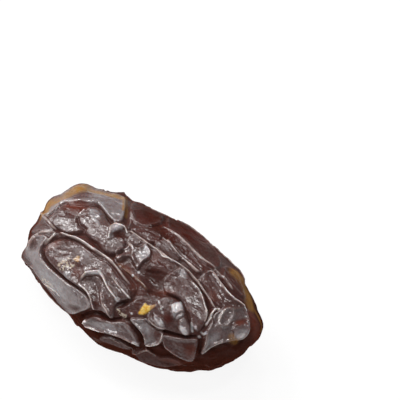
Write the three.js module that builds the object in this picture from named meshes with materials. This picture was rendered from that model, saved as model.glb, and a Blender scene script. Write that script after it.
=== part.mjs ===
// A dried medjool date lying on its side, in millimetres, +Z up.
// The long axis runs along X with the stem end towards -X, and the fruit rests on a small flat spot at z = 0.
import * as THREE from "three";
import { mergeVertices } from "three/addons/utils/BufferGeometryUtils.js";

// Driving dimensions of the plain body, before its folds: half sizes about the middle of the fruit.
const HALF_LENGTH = { back: 27.5, front: 26.0 };
const HALF_WIDTH = { back: 14.5, front: 13.0 };
const HALF_HEIGHT = { back: 9.3, front: 10.3 };
const END_ROUNDNESS = { back: 2.9, front: 2.0 };
const SECTION_ROUNDNESS = 2.2;

// Pressed facets: heading and pitch of the normal in degrees, and distance from the middle.
const FACETS = [
  { heading: -109, pitch: -16, distance: 14.5 },
  { heading: -160, pitch: 20, distance: 22.4 },
  { heading: 175, pitch: 41, distance: 21.6 },
  { heading: 104, pitch: 44, distance: 16.3 },
  { heading: 55, pitch: 16, distance: 18.2 },
  { heading: 1, pitch: -32, distance: 21.6 },
];
const FACET_SHARPNESS = 12;

// The flat spot: its height under the middle, and the half sizes of the patch where no fold crosses it.
const REST_HEIGHT = -9.0;
const REST_PATCH = { x: 8.0, y: 4.6, blend: 0.6 };

// The view in which the folds are traced: from this heading and this height, at a distance in mm, on a
// square sheet of 400 units at so many units to the mm, with the middle of the fruit at (142, 281).
const VIEW_HEADING = 35;
const VIEW_HEIGHT = 50;
const VIEW_DISTANCE = 380;
const UNITS_PER_MM = 5.4;
const SHEET_MIDDLE = 200;
const FRUIT_ON_SHEET = { x: 142, y: 281 };

// Plates of skin that stand between the valleys: name, height, height of the rim, bulge of the middle, and
// closed outline.
const PLATES = [
  ["collar", 0.21, 0.2, -0.12,
    [[44, 213], [51, 199.5], [64, 191], [79, 184.5], [101, 188.5], [117, 194], [124, 196], [124.3, 211],
     [120.5, 220], [113.5, 219.5], [106, 211.5], [98, 203.5], [84, 201.5], [62, 201.5], [47, 215]]],
  ["kidney left", 0.39, 0, 0.4,
    [[49.5, 218.5], [61, 205.5], [72, 206.5], [80, 209], [76, 217], [77.5, 224], [83, 228.5],
     [76, 231.5], [67, 231], [57, 226.5]]],
  ["kidney head", 0.45, 0, 0.42,
    [[83, 212], [90, 207.5], [97, 208], [102.5, 212], [106, 219], [110, 226], [109.5, 236.5], [116, 238],
     [122, 239], [124.5, 243.5], [121.5, 249.5], [113, 253], [104, 249.5], [98, 241.5], [89.5, 236.8],
     [86, 231.5], [87.5, 227.5], [81, 223], [79.5, 217]]],
  ["hook facet", 0.15, 0, 0,
    [[109, 240], [110, 232], [112.5, 225.5], [117, 223.5], [125, 228], [118, 229], [114.5, 232],
     [113, 238]]],
  ["west facet", 0.27, 0.24, -0.1,
    [[23, 257], [29, 246], [36.5, 236.5], [47, 237.5], [40.5, 248], [40.5, 258], [48, 267.7], [59, 277],
     [69, 284.5], [80, 290.5], [87.5, 297.5], [90, 306.5], [80, 311.5], [68.5, 314], [57, 303],
     [44.5, 288.5], [32, 273]]],
  ["north facet", 0.18, 0.16, 0,
    [[37, 222], [42, 216], [47.5, 223.5], [53, 229.5], [44, 230], [33, 232.5]]],
  ["left cell", 0.39, 0, 0.2,
    [[45.5, 250], [51, 243.5], [60, 240.3], [70, 240.5], [80, 244], [89.5, 251], [97.5, 258.5],
     [106.5, 264], [113, 271], [118.5, 278.5], [126, 287.5], [129.5, 296.5], [119, 300.8], [113.5, 306],
     [112, 318], [108.5, 317], [102, 311], [93, 309], [90.5, 299.5], [84.5, 290.3], [77, 285.2],
     [65, 276.7], [55, 267.5], [47.5, 258.5]]],
  ["star", 0.42, 0.16, -0.17,
    [[115.5, 256], [119, 250.5], [127, 247.5], [131, 244.5], [138, 248], [145.5, 244], [150, 250.5],
     [149.5, 256], [142.5, 262], [137, 268.5], [134, 262], [130, 256.5], [124, 257.5], [119, 260.5]]],
  ["hook pane", 0.3, 0, 0, [[131, 236], [140, 242], [133, 243.5], [127.5, 242]]],
  ["long slope", 0.21, 0, 0.1,
    [[152, 249.5], [166, 258.5], [180, 266.5], [175, 275], [160, 270], [146, 268], [152.5, 258]]],
  ["crescent", 0.42, 0, 0,
    [[164, 279], [174, 271], [181.5, 268.5], [190.5, 277], [199, 287], [205, 300.5], [207.3, 313.5],
     [204, 323], [199, 330.5], [194, 328.5], [189.5, 319], [186.5, 308], [180.5, 298.5], [172.5, 293.5],
     [166, 290]]],
  ["tiles", 0.3, 0, 0.15,
    [[147.5, 316], [152.5, 323], [160, 327], [173, 331.5], [184, 334.5], [190, 334.5], [189.3, 324],
     [186.5, 313], [182, 303.5], [174, 297.5], [162, 298], [156, 305], [150, 311]]],
  ["tile", 0.42, 0, 0, [[172, 305.5], [181.3, 303.8], [183.3, 315.5], [174.5, 318]]],
  ["tile low", 0.42, 0, 0.1, [[180, 323], [184.5, 318.5], [189, 328], [188.5, 334], [183.5, 334]]],
  ["tile west", 0.3, 0, 0.1, [[154.5, 316], [160.5, 318.5], [165, 325], [162.5, 328], [156.5, 323.5]]],
  ["fleck shelf", 0.15, 0, 0,
    [[122, 309], [130, 303], [140, 297], [149, 301], [153, 305], [146, 313], [141, 319], [130, 317.5]]],
  ["pane", 0.39, 0.2, -0.12,
    [[130, 319.5], [138, 320], [145.5, 319.5], [152, 327], [162, 331], [161.5, 339], [158, 344],
     [146, 345], [144.5, 337], [139, 329]]],
  ["pane big", 0.42, 0.2, -0.1,
    [[164, 335.5], [175, 337.5], [186, 339], [197, 340], [196, 348], [193, 360], [184, 360],
     [174, 353.5], [165.5, 347], [163.5, 341]]],
  ["end plate", 0.42, 0.2, 0,
    [[222, 309.5], [234, 308.7], [244, 310], [247.5, 319], [246.5, 331], [242, 338.5], [232, 340.5],
     [220, 343], [210, 347.5], [202, 353.5], [205.5, 342], [207, 333], [211, 325], [214.5, 315]]],
  ["end knob", 0.3, 0, 0.25,
    [[231.5, 330], [236, 325.5], [245, 324.5], [246, 332], [241, 338.5], [233.5, 338.5]]],
  ["oval", 0.21, 0.24, -0.1,
    [[219, 321], [222, 312.5], [228, 309], [233, 313], [231.5, 320.5], [226.5, 326], [220.5, 326]]],
  ["east pillow", 0.42, 0, 0.15,
    [[203, 275.5], [210, 273.5], [216, 278.5], [221.5, 285.5], [228, 294], [236, 301], [243, 307],
     [234, 307.8], [223, 307.8], [216, 304], [211, 297], [207, 290], [203.5, 283]]],
  ["ear", 0.42, 0, 0.15,
    [[155, 243.5], [161.5, 240], [168, 243.5], [173, 250], [179, 257.5], [177.5, 260.5], [169, 255.5],
     [160, 249.5]]],
  ["far strip", 0.27, 0.16, 0,
    [[168, 240], [176, 246], [184, 254], [193, 262], [203, 270.5], [200, 273], [190.5, 265.5],
     [180, 257], [172, 248]]],
  ["band", 0.42, 0.2, -0.07,
    [[83.5, 322], [88, 319.5], [95, 317], [103, 320], [111, 322.5], [119, 322], [126, 324], [132, 331],
     [138.5, 343.5], [133, 342], [123, 337], [112, 332.5], [99, 329.5], [90, 325.5]]],
  ["low strip", 0.27, 0.12, 0,
    [[101.5, 337.5], [108, 336], [116, 339.5], [125, 343.5], [130, 348.5], [122, 347.5], [112, 343]]],
  ["low sheet", 0.21, 0.16, 0,
    [[133, 351], [141, 350.5], [148, 350.5], [157, 356.5], [170, 358.5], [182, 364], [168, 366],
     [150, 363], [138, 357.5]]],
  ["shade sheet", 0.24, 0.16, 0.05,
    [[131.5, 204], [141, 200.5], [155, 205.5], [163, 213], [160, 222], [149, 225], [137, 222],
     [132.5, 214]]],
  ["shade slope", 0.24, 0.12, 0,
    [[133, 229], [141, 227], [154, 230.5], [161, 236.5], [153, 241.5], [143, 237.5]]],
  ["far sheet", 0.24, 0.16, 0.05,
    [[170, 216], [184, 221], [200, 233], [212, 247], [221, 262], [214, 268], [203, 260], [190, 247],
     [176, 234], [168, 226]]],
  ["east sheet", 0.21, 0.16, 0,
    [[226, 266], [236, 273], [241, 283], [246, 296], [241, 295], [232, 286], [223, 276]]],
];

// Crests of the folded skin: name, height, width of the flank on the left and on the right, and trace.
const CRESTS = [
  ["main fold", 0.71, 0.38, 0.38,
    [[57, 230], [62, 232.5], [70, 236], [80, 240], [90, 247], [98, 252], [106, 257], [112, 262.5],
     [118, 269], [124, 277], [130, 284.5], [132, 288]]],
  ["west fold", 0.45, 0.43, 0.34, [[57, 230], [51, 231.5], [42, 232], [36, 235], [31, 242], [26.5, 250]]],
  ["west rim", 0.3, 0.2, 0.2, [[24.5, 254], [28, 262], [34, 270], [43, 281], [52, 292], [61, 303]]],
  ["fork", 0.45, 0.38, 0.3, [[57, 230], [51, 237], [43, 246.5]]],
  ["collar left", 0.45, 0.43, 0.43, [[42, 213], [46, 219], [51, 224.5], [57, 230]]],
  ["collar crease", 0.26, 0.26, 0.21, [[47, 216], [54, 209], [60.5, 202.5]]],
  ["collar wave", 0.15, 0.26, 0.26, [[61, 201.5], [73, 197.5], [84, 196], [93, 199.5], [98, 204]]],
  ["collar wave low", 0.15, 0.26, 0.26, [[64, 203.5], [76, 201.5], [88, 202.5]]],
  ["kidney crest", 0.41, 0.26, 0.3, [[76.5, 217], [80.5, 212.5], [86.5, 209]]],
  ["hook", 0.75, 0.25, 0.22,
    [[109, 240], [110.5, 233], [111.5, 227.5], [115, 224.5], [120, 226.5], [126, 229.5], [127.5, 233]]],
  ["arch", 0.45, 0.34, 0.3,
    [[81, 284], [82.5, 278], [87, 273.5], [92, 272], [98, 272], [102.5, 275], [105, 280], [109, 288],
     [114, 295], [118, 300]]],
  ["arch left", 0.38, 0.26, 0.34, [[80, 285], [86, 289], [90, 294.5], [92.5, 301], [94, 308]]],
  ["inner crease", 0.38, 0.38, 0.26, [[100, 289], [103, 304], [107, 310.5], [110, 319]]],
  ["parallel crease", 0.26, 0.34, 0.34, [[108, 268], [114, 277], [119, 285], [124, 292.5], [128.5, 297.5]]],
  ["cell fold", 0.23, 0.26, 0.26, [[112, 264], [118, 272], [124, 281], [130, 291]]],
  ["amber thread", 0.34, 0.21, 0.21,
    [[118, 263], [126, 270], [133, 275], [140, 281], [145, 286], [147.5, 291.5]]],
  ["star spine", 0.34, 0.3, 0.3, [[129, 243], [133, 248.5], [131.5, 255], [135, 264]]],
  ["star edge", 0.26, 0.51, 0.3, [[145, 245], [149.5, 251], [148.5, 256.5], [142, 262]]],
  ["cell foot", 0.34, 0.34, 0.26, [[146, 316], [151, 322.5], [158, 327], [165, 329]]],
  ["beads", 0.3, 0.26, 0.26, [[158.5, 300], [160, 305], [162, 312]]],
  ["crescent edge", 0.26, 0.26, 0.34, [[190, 277], [199, 287.5], [204.5, 301], [207, 313], [203.5, 323]]],
  ["long fold", 0.68, 0.34, 0.3,
    [[127, 230], [135, 235], [143, 240], [152, 246], [162, 253], [170, 259], [179, 264], [186, 269],
     [193, 276], [200, 284], [206, 293], [211, 302], [214, 307], [219, 309]]],
  ["white hook", 0.56, 0.3, 0.3, [[220.5, 308.8], [215.5, 309.7], [211, 314.5], [208, 322], [204, 329]]],
  ["east fold", 0.75, 0.3, 0.34,
    [[203, 274], [210, 272.5], [214.5, 277.5], [219.5, 285], [225.5, 293], [232, 299.5], [239, 304],
     [247, 310]]],
  ["far fold", 0.38, 0.3, 0.34,
    [[162, 236], [170, 244], [176, 252], [183, 258], [190, 265], [196, 270.5], [203, 274.5]]],
  ["shade fold", 0.3, 0.43, 0.43, [[130.5, 208], [131, 219], [128, 230]]],
  ["south spur", 0.26, 0.26, 0.26, [[206.5, 336], [205.5, 342], [201, 353.5]]],
  ["pane left", 0.26, 0.3, 0.26, [[130, 320], [136, 324.5], [140.5, 330.5], [145, 338], [144.5, 344.5]]],
  ["pane foot", 0.26, 0.26, 0.26, [[145, 345], [155, 345], [160, 342.5], [162.5, 338]]],
  ["pane foot right", 0.26, 0.26, 0.26, [[163, 342], [168, 349.5], [177, 355]]],
  ["south fold", 0.34, 0.43, 0.26,
    [[84, 322], [92, 326.5], [104, 331], [117, 334], [127, 338.5], [136, 343.5]]],
  ["south wave", 0.3, 0.26, 0.26,
    [[129, 348], [135, 352.5], [140, 352], [146, 350], [150, 351.5], [156, 356]]],
  ["belly line", 0.19, 0.34, 0.34, [[156, 356], [168, 361], [178, 364], [190, 364]]],
  ["red line", 0.23, 0.26, 0.26, [[231, 325], [238, 323.5], [246, 320.5], [250, 320.5]]],
  ["shade line", 0.26, 0.34, 0.34,
    [[131, 200], [146, 203], [163, 211], [181, 221], [198, 234], [212, 248]]],
  ["far line", 0.34, 0.34, 0.34,
    [[160, 224], [173, 233], [188, 246], [202, 259], [215, 269], [226, 281], [236, 293]]],
];

// Grooves between the folds: name, depth, width of the flank on the left and on the right, and trace.
const GROOVES = [
  ["collar foot", 0.39, 0.28, 0.28,
    [[48, 217.5], [55, 210.5], [61, 204.5], [74, 204.5], [86, 205.5], [98, 206], [106, 213.5],
     [112, 221], [117, 223]]],
  ["kidney foot", 0.46, 0.28, 0.24,
    [[49, 219.5], [55, 227.5], [63, 231.5], [72, 234], [80, 233.5], [85, 233.5], [91, 240], [98, 245.5],
     [103, 252], [112, 255.5], [121, 252.5], [126, 246.5]]],
  ["kidney split", 0.28, 0.21, 0.21, [[85, 230], [80.5, 225], [78.5, 219]]],
  ["cell north", 0.46, 0.28, 0.24,
    [[43, 248], [49, 242], [57, 237.5], [68, 238.2], [78, 241.8], [88, 248.5], [95, 254]]],
  ["cell west", 0.51, 0.32, 0.28,
    [[42.5, 248], [42.5, 258], [49, 266.5], [60, 276], [70, 283.5], [80, 290.5], [88, 297], [91.5, 305]]],
  ["mid valley", 0.46, 0.6, 0.6, [[122, 266], [130, 277], [136, 286], [135, 293], [130, 301]]],
  ["basin floor", 0.46, 1.2, 1.2, [[148, 290], [157, 292], [166, 293]]],
  ["crescent west", 0.51, 0.28, 0.28,
    [[164, 293.5], [173, 295.8], [181.5, 301], [186, 311], [189.5, 322.5], [192, 333]]],
  ["crescent east", 0.54, 0.24, 0.24,
    [[186, 271.5], [195, 281], [202, 291], [207, 303], [209.5, 314], [205.5, 325], [199, 332.5]]],
  ["long shade", 0.39, 0.21, 0.21,
    [[129, 228], [138, 233.5], [148, 239.5], [158, 246], [168, 254], [178, 261], [188, 268], [197, 277],
     [205, 288], [211, 298]]],
  ["cell south", 0.46, 0.24, 0.28,
    [[143, 317], [149, 324.5], [157, 329.5], [168, 332.5], [182, 336.3], [197, 336.8]]],
  ["south gap", 0.46, 0.24, 0.24, [[200.5, 334], [201, 345], [197.5, 357]]],
  ["pane valley", 0.54, 0.32, 0.28, [[120, 319.5], [128, 321], [134.5, 327.5], [139.5, 335], [142, 343.5]]],
  ["south valley", 0.62, 0.28, 0.32,
    [[78, 319.5], [85, 315], [94, 313], [103, 316.5], [111, 320.5], [118, 319.5], [124, 317]]],
  ["shelf edge", 0.39, 0.21, 0.21, [[119, 303], [125, 301.5], [131, 300], [134, 295]]],
  ["undercut", 0.46, 0.24, 0.35,
    [[82, 325.5], [92, 329.5], [104, 333.8], [116, 336.5], [127, 341.5], [140, 347.5]]],
  ["amber gutter", 0.39, 0.35, 0.35, [[127.3, 204], [127.5, 214], [126, 226]]],
  ["east shade", 0.54, 0.24, 0.32, [[217, 275], [224, 283.5], [231, 292.5], [238, 299], [247, 306]]],
  ["hook pocket", 0.4, 0.35, 0.35, [[116.5, 231.5], [121, 233], [125.5, 235.5]]],
];

// Lumps and hollows: name, height, middle and half sizes on the sheet, and clockwise turn in degrees.
const LUMPS = [
  ["bead", 0.4, [121, 257], [6, 5], 20],
  ["trough", -0.4, [96, 290], [20, 7], 65],
  ["arch pocket", -0.25, [92, 281], [9, 5], 20],
  ["pit", -0.6, [121, 304], [9, 4.5], -15],
  ["basin", -0.9, [158, 281], [22, 13], 30],
  ["right end", 0.9, [259, 332], [24, 17], 60],
  ["lower belly", 0.8, [93, 340], [34, 15], 35],
  ["belly", 0.35, [166, 371], [36, 12], 10],
  ["far side", 0.3, [240, 272], [16, 9], 55],
  ["crumb dent", -0.3, [80, 268], [7, 5], 50],
  ["lobe dent", -0.3, [70, 213], [7, 5], 20],
  ["left corner", 0.75, [23, 256], [12, 10], 80],
  ["left brow", 0.35, [30, 230], [14, 9], -65],
  ["collar west", 0.65, [49, 199], [14, 9], -45],
  ["collar peak", 0.6, [81, 184], [17, 9], 0],
  ["collar east", 0.35, [122, 195], [14, 8], 15],
  ["south east", 0.6, [245, 351], [26, 11], -40],
  ["south west", 0.35, [76, 323], [13, 9], 50],
];

// Slow unevenness of the whole skin: waves along X, Y and Z in radians per mm, phase, and height.
const SWELLS = [
  [0.22, 0.5, 0.3, 0.4, 0.1],
  [0.35, -0.3, 0.7, 1.9, 0.08],
  [-0.5, 0.62, -0.4, 3.1, 0.06],
];

// Long folds of the side that the sheet doesn't show, drawn by a seeded rule: their angles about X, and the
// ranges that are drawn, in mm along X, degrees about it, and mm of height and flank.
const REAR_SEED = 20406;
const REAR_ANGLES = { first: 222, last: 396, step: 11 };
const REAR_FOLD = {
  shift: [-4, 4], start: [-24, -12], length: [16, 42], last: 22, step: [2.5, 5], wander: [-7, 7],
  height: [0.35, 0.75], flank: [0.35, 0.8],
};

// Short folds that tie the long ones together: how many, their turn about X, and the ranges that are drawn.
const REAR_LINKS = 26;
const REAR_LINK = {
  start: [-22, 18], angle: [222, 380], halfTurn: 8, middle: [0.5, 3], end: [1, 5],
  height: [0.2, 0.5], flank: [0.25, 0.5],
};

// Plates of that side: the grid of their middles in mm along X and degrees about it, how far each middle is
// drawn off its place, how much longer than wide they are, their ranges of height and bulge, and the waves
// that bend their borders: radians per mm along X, Y and Z, and size.
const REAR_PLACES = { first: -22, last: 25, step: 9 };
const REAR_TURNS = { first: 190, last: 430, step: 24 };
const REAR_SHIFT = { x: 3.5, turn: 10 };
const REAR_STRETCH = new THREE.Vector3(1.7, 1, 1);
const REAR_PLATE = { height: [0.1, 0.5], bulge: [-0.25, 0.35], rim: 0.2 };
const REAR_WARP = [[0, 0.5, 0.35, 1], [0.5, 0, 0.2, 0.9], [0.42, 0.3, 0, 0.9]];

// Stem scar and tip scar: heading and pitch from the middle, ring radius, ring height and hollow depth.
const STEM_SCAR = { heading: 196, pitch: -14, radius: 2.4, ring: 0.35, hollow: 0.9 };
const TIP_SCAR = { heading: 10, pitch: -16, radius: 1.1, ring: 0.2, hollow: 0.4 };
const RING_WIDTH = 0.6;

// Working values of the mesh.
const SPHERE_DETAIL = 23;
const SPHERE_STRETCH = new THREE.Vector3(26, 13.5, 9.5);
const MIDDLE_SHARE = 0.15;
const FOLDED_SIDE = new THREE.Vector3(0, -0.55, 0.83);
const FOLDED_SHARE = 0.25;
const FINEST_FLANK = 0.6;
const CREST_ROUNDING = 0.35;
const LUMP_DEPTH = 7;
const USUAL_RISE = 0.35;
const PLATE_EDGE = 0.6;
const RIM_WIDTH = 0.5;
const RIM_INSET = 0.3;
const BULGE_WIDTH = 2.2;
const OUTLINE_STEPS = 6;
const TURNED_AWAY = 0.35;
const FOLD_BLEND = 4;
const FOLD_END_FADE = { length: 2.0, share: 1 / 3, rise: 0.3 };
const FOLD_REACH = 6;
const TRACE_STEP = 0.45;
const SURFACE_STEP = 0.05;
const SIGHT_SEARCH = { reach: 20, step: 0.1 };
const SURELY_OUTSIDE = 60;
const HALVINGS = 40;

const SKIN = { color: 0x4a2c25, roughness: 0.45, metalness: 0.0 };

function direction(heading, pitch) {
  const h = THREE.MathUtils.degToRad(heading);
  const p = THREE.MathUtils.degToRad(pitch);
  return new THREE.Vector3(Math.cos(p) * Math.cos(h), Math.cos(p) * Math.sin(h), Math.sin(p));
}

function smooth(t) {
  const u = THREE.MathUtils.clamp(t, 0, 1);
  return u * u * (3 - 2 * u);
}

const sideOf = (value, pair) => (value < 0 ? pair.back : pair.front);

const facets = FACETS.map((f) => ({ normal: direction(f.heading, f.pitch), distance: f.distance }));

// 1 on the plain body, less inside it and more outside it.
function gauge(p) {
  const width = Math.abs(p.y / sideOf(p.y, HALF_WIDTH)) ** SECTION_ROUNDNESS;
  const height = Math.abs(p.z / sideOf(p.z, HALF_HEIGHT)) ** SECTION_ROUNDNESS;
  const section = (width + height) ** (1 / SECTION_ROUNDNESS);
  const power = sideOf(p.x, END_ROUNDNESS);
  const along = Math.abs(p.x / sideOf(p.x, HALF_LENGTH)) ** power;
  let total = (along + section ** power) ** (FACET_SHARPNESS / power);
  for (const facet of facets) {
    total += Math.max(0, p.dot(facet.normal) / facet.distance) ** FACET_SHARPNESS;
  }
  return total ** (1 / FACET_SHARPNESS);
}

const onBody = (p) => p.clone().divideScalar(gauge(p));

function outward(p) {
  const slope = (axis) => {
    const step = new THREE.Vector3().setComponent(axis, SURFACE_STEP);
    return gauge(p.clone().add(step)) - gauge(p.clone().sub(step));
  };
  return new THREE.Vector3(slope(0), slope(1), slope(2)).normalize();
}

// The frame of the view: to the right and up on the sheet, back to the eye, and the eye's place.
function tracingView() {
  const right = direction(VIEW_HEADING, 0);
  const back = direction(VIEW_HEADING - 90, VIEW_HEIGHT);
  const up = new THREE.Vector3().crossVectors(back, right);
  const eye = back.clone().multiplyScalar(VIEW_DISTANCE)
    .addScaledVector(right, (SHEET_MIDDLE - FRUIT_ON_SHEET.x) / UNITS_PER_MM)
    .addScaledVector(up, (FRUIT_ON_SHEET.y - SHEET_MIDDLE) / UNITS_PER_MM);
  return { right, up, back, eye, focal: VIEW_DISTANCE * UNITS_PER_MM };
}

const view = tracingView();

// The distance along a line of sight at which it comes closest to the middle of the fruit's inside.
function deepestPoint(at, middle) {
  const { reach, step } = SIGHT_SEARCH;
  let best = middle;
  for (let distance = middle - reach; distance <= middle + reach; distance += step) {
    if (gauge(at(distance)) < gauge(at(best))) best = distance;
  }
  return best;
}

// The point of the plain body seen at a place on the sheet, or its edge where the place lies outside it.
function seen(x, y) {
  const ray = view.back.clone().negate()
    .addScaledVector(view.right, (x - SHEET_MIDDLE) / view.focal)
    .addScaledVector(view.up, (SHEET_MIDDLE - y) / view.focal)
    .normalize();
  const at = (distance) => view.eye.clone().addScaledVector(ray, distance);
  let inside = deepestPoint(at, -view.eye.dot(ray));
  if (gauge(at(inside)) >= 1) return onBody(at(inside));
  let outside = inside - SURELY_OUTSIDE;
  for (let i = 0; i < HALVINGS; i++) {
    const half = (inside + outside) / 2;
    if (gauge(at(half)) > 1) outside = half;
    else inside = half;
  }
  return at(inside);
}

// The place on the sheet where a point of the fruit is seen.
function onSheet(p) {
  const away = p.clone().sub(view.eye);
  const scale = view.focal / -away.dot(view.back);
  const [x, y] = [scale * away.dot(view.right), scale * away.dot(view.up)];
  return new THREE.Vector2(SHEET_MIDDLE + x, SHEET_MIDDLE - y);
}

const raised = (p, normal) => p.clone().addScaledVector(normal, USUAL_RISE);

// The point of the plain body over which raised skin is seen at a place on the sheet.
function traced([x, y]) {
  const under = seen(x, y);
  const place = onSheet(raised(under, outward(under)));
  return seen(2 * x - place.x, 2 * y - place.y);
}

// The point of the plain body at a place along X and an angle about X, where 90 degrees is the top.
function around(x, angle) {
  const a = THREE.MathUtils.degToRad(angle);
  let inner = 0;
  let outer = SURELY_OUTSIDE;
  const at = (radius) => new THREE.Vector3(x, radius * Math.cos(a), radius * Math.sin(a));
  for (let i = 0; i < HALVINGS; i++) {
    const half = (inner + outer) / 2;
    if (gauge(at(half)) > 1) outer = half;
    else inner = half;
  }
  return at(inner);
}

// A fold's path: a smooth curve through the given points, laid on the body in short steps.
function pathThrough(points) {
  const curve = new THREE.CatmullRomCurve3(points, false, "catmullrom", 0.5);
  const steps = Math.max(4, Math.ceil(curve.getLength() / TRACE_STEP));
  const path = curve.getPoints(steps).map(onBody);
  const run = [0];
  for (let i = 1; i < path.length; i++) run.push(run[i - 1] + path[i].distanceTo(path[i - 1]));
  const middle = new THREE.Box3().setFromPoints(path).getCenter(new THREE.Vector3());
  const reach = Math.max(...path.map((q) => q.distanceTo(middle)));
  return { path, run, middle, reach };
}

function fold(height, left, right, points) {
  return { height, left, right, ...pathThrough(points) };
}

// How far a surface point lies from a fold's path, on which side, and how far along.
function placeOnFold(p, normal, { path, run }) {
  let best = { distance: Infinity };
  const along = new THREE.Vector3();
  const away = new THREE.Vector3();
  for (let i = 0; i + 1 < path.length; i++) {
    along.subVectors(path[i + 1], path[i]);
    away.subVectors(p, path[i]);
    const t = THREE.MathUtils.clamp(away.dot(along) / along.lengthSq(), 0, 1);
    away.addScaledVector(along, -t);
    const distance = away.length();
    if (distance >= best.distance) continue;
    const left = along.clone().cross(away).dot(normal) > 0;
    best = { distance, left, run: run[i] + t * (run[i + 1] - run[i]) };
  }
  return best;
}

// The height that one fold gives at a surface point: highest on its path and fading over its flanks and ends.
function foldHeight(p, normal, item) {
  if (p.distanceTo(item.middle) > item.reach + FOLD_REACH) return 0;
  const place = placeOnFold(p, normal, item);
  const length = item.run[item.run.length - 1];
  const fade = Math.min(FOLD_END_FADE.length, length * FOLD_END_FADE.share);
  const start = smooth(place.run / fade + FOLD_END_FADE.rise);
  const end = smooth((length - place.run) / fade + FOLD_END_FADE.rise);
  const width = Math.max(FINEST_FLANK, place.left ? item.left : item.right);
  const rounded = Math.hypot(place.distance, CREST_ROUNDING) - CREST_ROUNDING;
  return item.height * start * end * Math.exp(-rounded / width);
}

function blendedHeight(p, normal, folds) {
  let total = 0;
  for (const item of folds) total += foldHeight(p, normal, item) ** FOLD_BLEND;
  return total ** (1 / FOLD_BLEND);
}

function lump([, height, middle, half, turn]) {
  const at = traced(middle);
  return { height, at, normal: outward(at), half, turn: THREE.MathUtils.degToRad(turn) };
}

function lumpHeight(p, item) {
  const away = p.clone().sub(item.at);
  const x = away.dot(view.right) * UNITS_PER_MM;
  const y = -away.dot(view.up) * UNITS_PER_MM;
  const long = (x * Math.cos(item.turn) + y * Math.sin(item.turn)) / item.half[0];
  const wide = (y * Math.cos(item.turn) - x * Math.sin(item.turn)) / item.half[1];
  const deep = away.dot(item.normal) / LUMP_DEPTH;
  const share = long * long + wide * wide + deep * deep;
  return share < 1 ? item.height * (1 - share) ** 2 : 0;
}

function plate([, height, rim, bulge, corners]) {
  const points = corners.map(([x, y]) => new THREE.Vector3(x, y, 0));
  const curve = new THREE.CatmullRomCurve3(points, true, "catmullrom", 0.5);
  const outline = curve.getPoints(corners.length * OUTLINE_STEPS).map((q) => new THREE.Vector2(q.x, q.y));
  return { height, rim, bulge, outline };
}

// The distance in mm from a place on the sheet to a closed outline, positive inside it.
function insideOutline(place, outline) {
  let nearest = Infinity;
  let inside = false;
  const along = new THREE.Vector2();
  const away = new THREE.Vector2();
  for (let i = 0; i + 1 < outline.length; i++) {
    const [a, b] = [outline[i], outline[i + 1]];
    along.subVectors(b, a);
    away.subVectors(place, a);
    const t = THREE.MathUtils.clamp(away.dot(along) / along.lengthSq(), 0, 1);
    nearest = Math.min(nearest, away.addScaledVector(along, -t).length());
    if (a.y > place.y === b.y > place.y) continue;
    if (place.x < a.x + ((place.y - a.y) * along.x) / along.y) inside = !inside;
  }
  return (inside ? nearest : -nearest) / UNITS_PER_MM;
}

// A plate's height at a distance inside its edge: a short slope, a rim, and a middle that bulges or sags.
function plateHeight({ height, rim, bulge }, distance, slope) {
  const edge = Math.exp(-(((distance - RIM_INSET) / RIM_WIDTH) ** 2));
  const middle = 1 - Math.exp(-Math.max(0, distance) / BULGE_WIDTH);
  return height * smooth(slope) + rim * edge + bulge * middle;
}

// All plates together, fading where the body turns away from the view.
function platesHeight(p, normal, plates) {
  const facing = smooth(normal.dot(view.back) / TURNED_AWAY);
  if (facing === 0) return 0;
  const place = onSheet(raised(p, normal));
  let total = 0;
  for (const item of plates) {
    const distance = insideOutline(place, item.outline);
    total += plateHeight(item, distance, distance / PLATE_EDGE + 0.5);
  }
  return facing * total;
}

// A point shifted by slow waves, so that straight borders between the rear plates turn wavy.
function warped(p) {
  const [x, y, z] = REAR_WARP.map(([kx, ky, kz, size]) => size * Math.sin(kx * p.x + ky * p.y + kz * p.z));
  return new THREE.Vector3(x, y, z).add(p).divide(REAR_STRETCH);
}

// The plates of the side that the sheet doesn't show, one for each place of a grid, drawn by a seeded rule.
function rearPlates() {
  const draw = drawing(REAR_SEED + 1);
  const plates = [];
  for (let turn = REAR_TURNS.first; turn < REAR_TURNS.last; turn += REAR_TURNS.step) {
    for (let x = REAR_PLACES.first; x < REAR_PLACES.last; x += REAR_PLACES.step) {
      const along = x + draw(-REAR_SHIFT.x, REAR_SHIFT.x);
      const about = turn + draw(-REAR_SHIFT.turn, REAR_SHIFT.turn);
      const height = draw(...REAR_PLATE.height);
      const bulge = draw(...REAR_PLATE.bulge);
      plates.push({ middle: warped(around(along, about)), height, bulge, rim: REAR_PLATE.rim });
    }
  }
  return plates;
}

// The height of the rear plate that a point belongs to, at the distance from the border with the next one.
function rearPlatesHeight(p, normal, plates) {
  const share = smooth(-normal.dot(view.back) / TURNED_AWAY);
  if (share === 0) return 0;
  const at = warped(p);
  const ranked = plates.map((item) => ({ item, square: at.distanceToSquared(item.middle) }));
  const [own, next] = ranked.sort((a, b) => a.square - b.square);
  const apart = own.item.middle.distanceTo(next.item.middle);
  const border = (next.square - own.square) / (2 * apart);
  return share * plateHeight(own.item, border, border / PLATE_EDGE);
}

function swellHeight(p) {
  const wave = ([x, y, z, phase, height]) => height * Math.sin(x * p.x + y * p.y + z * p.z + phase);
  return SWELLS.reduce((total, row) => total + wave(row), 0);
}

function scar({ heading, pitch, radius, ring, hollow }) {
  return { at: onBody(direction(heading, pitch)), radius, ring, hollow };
}

function scarHeight(p, item) {
  const distance = p.distanceTo(item.at);
  const ring = item.ring * Math.exp(-(((distance - item.radius) / RING_WIDTH) ** 2));
  return ring - item.hollow * smooth(1 - distance / item.radius);
}

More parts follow.
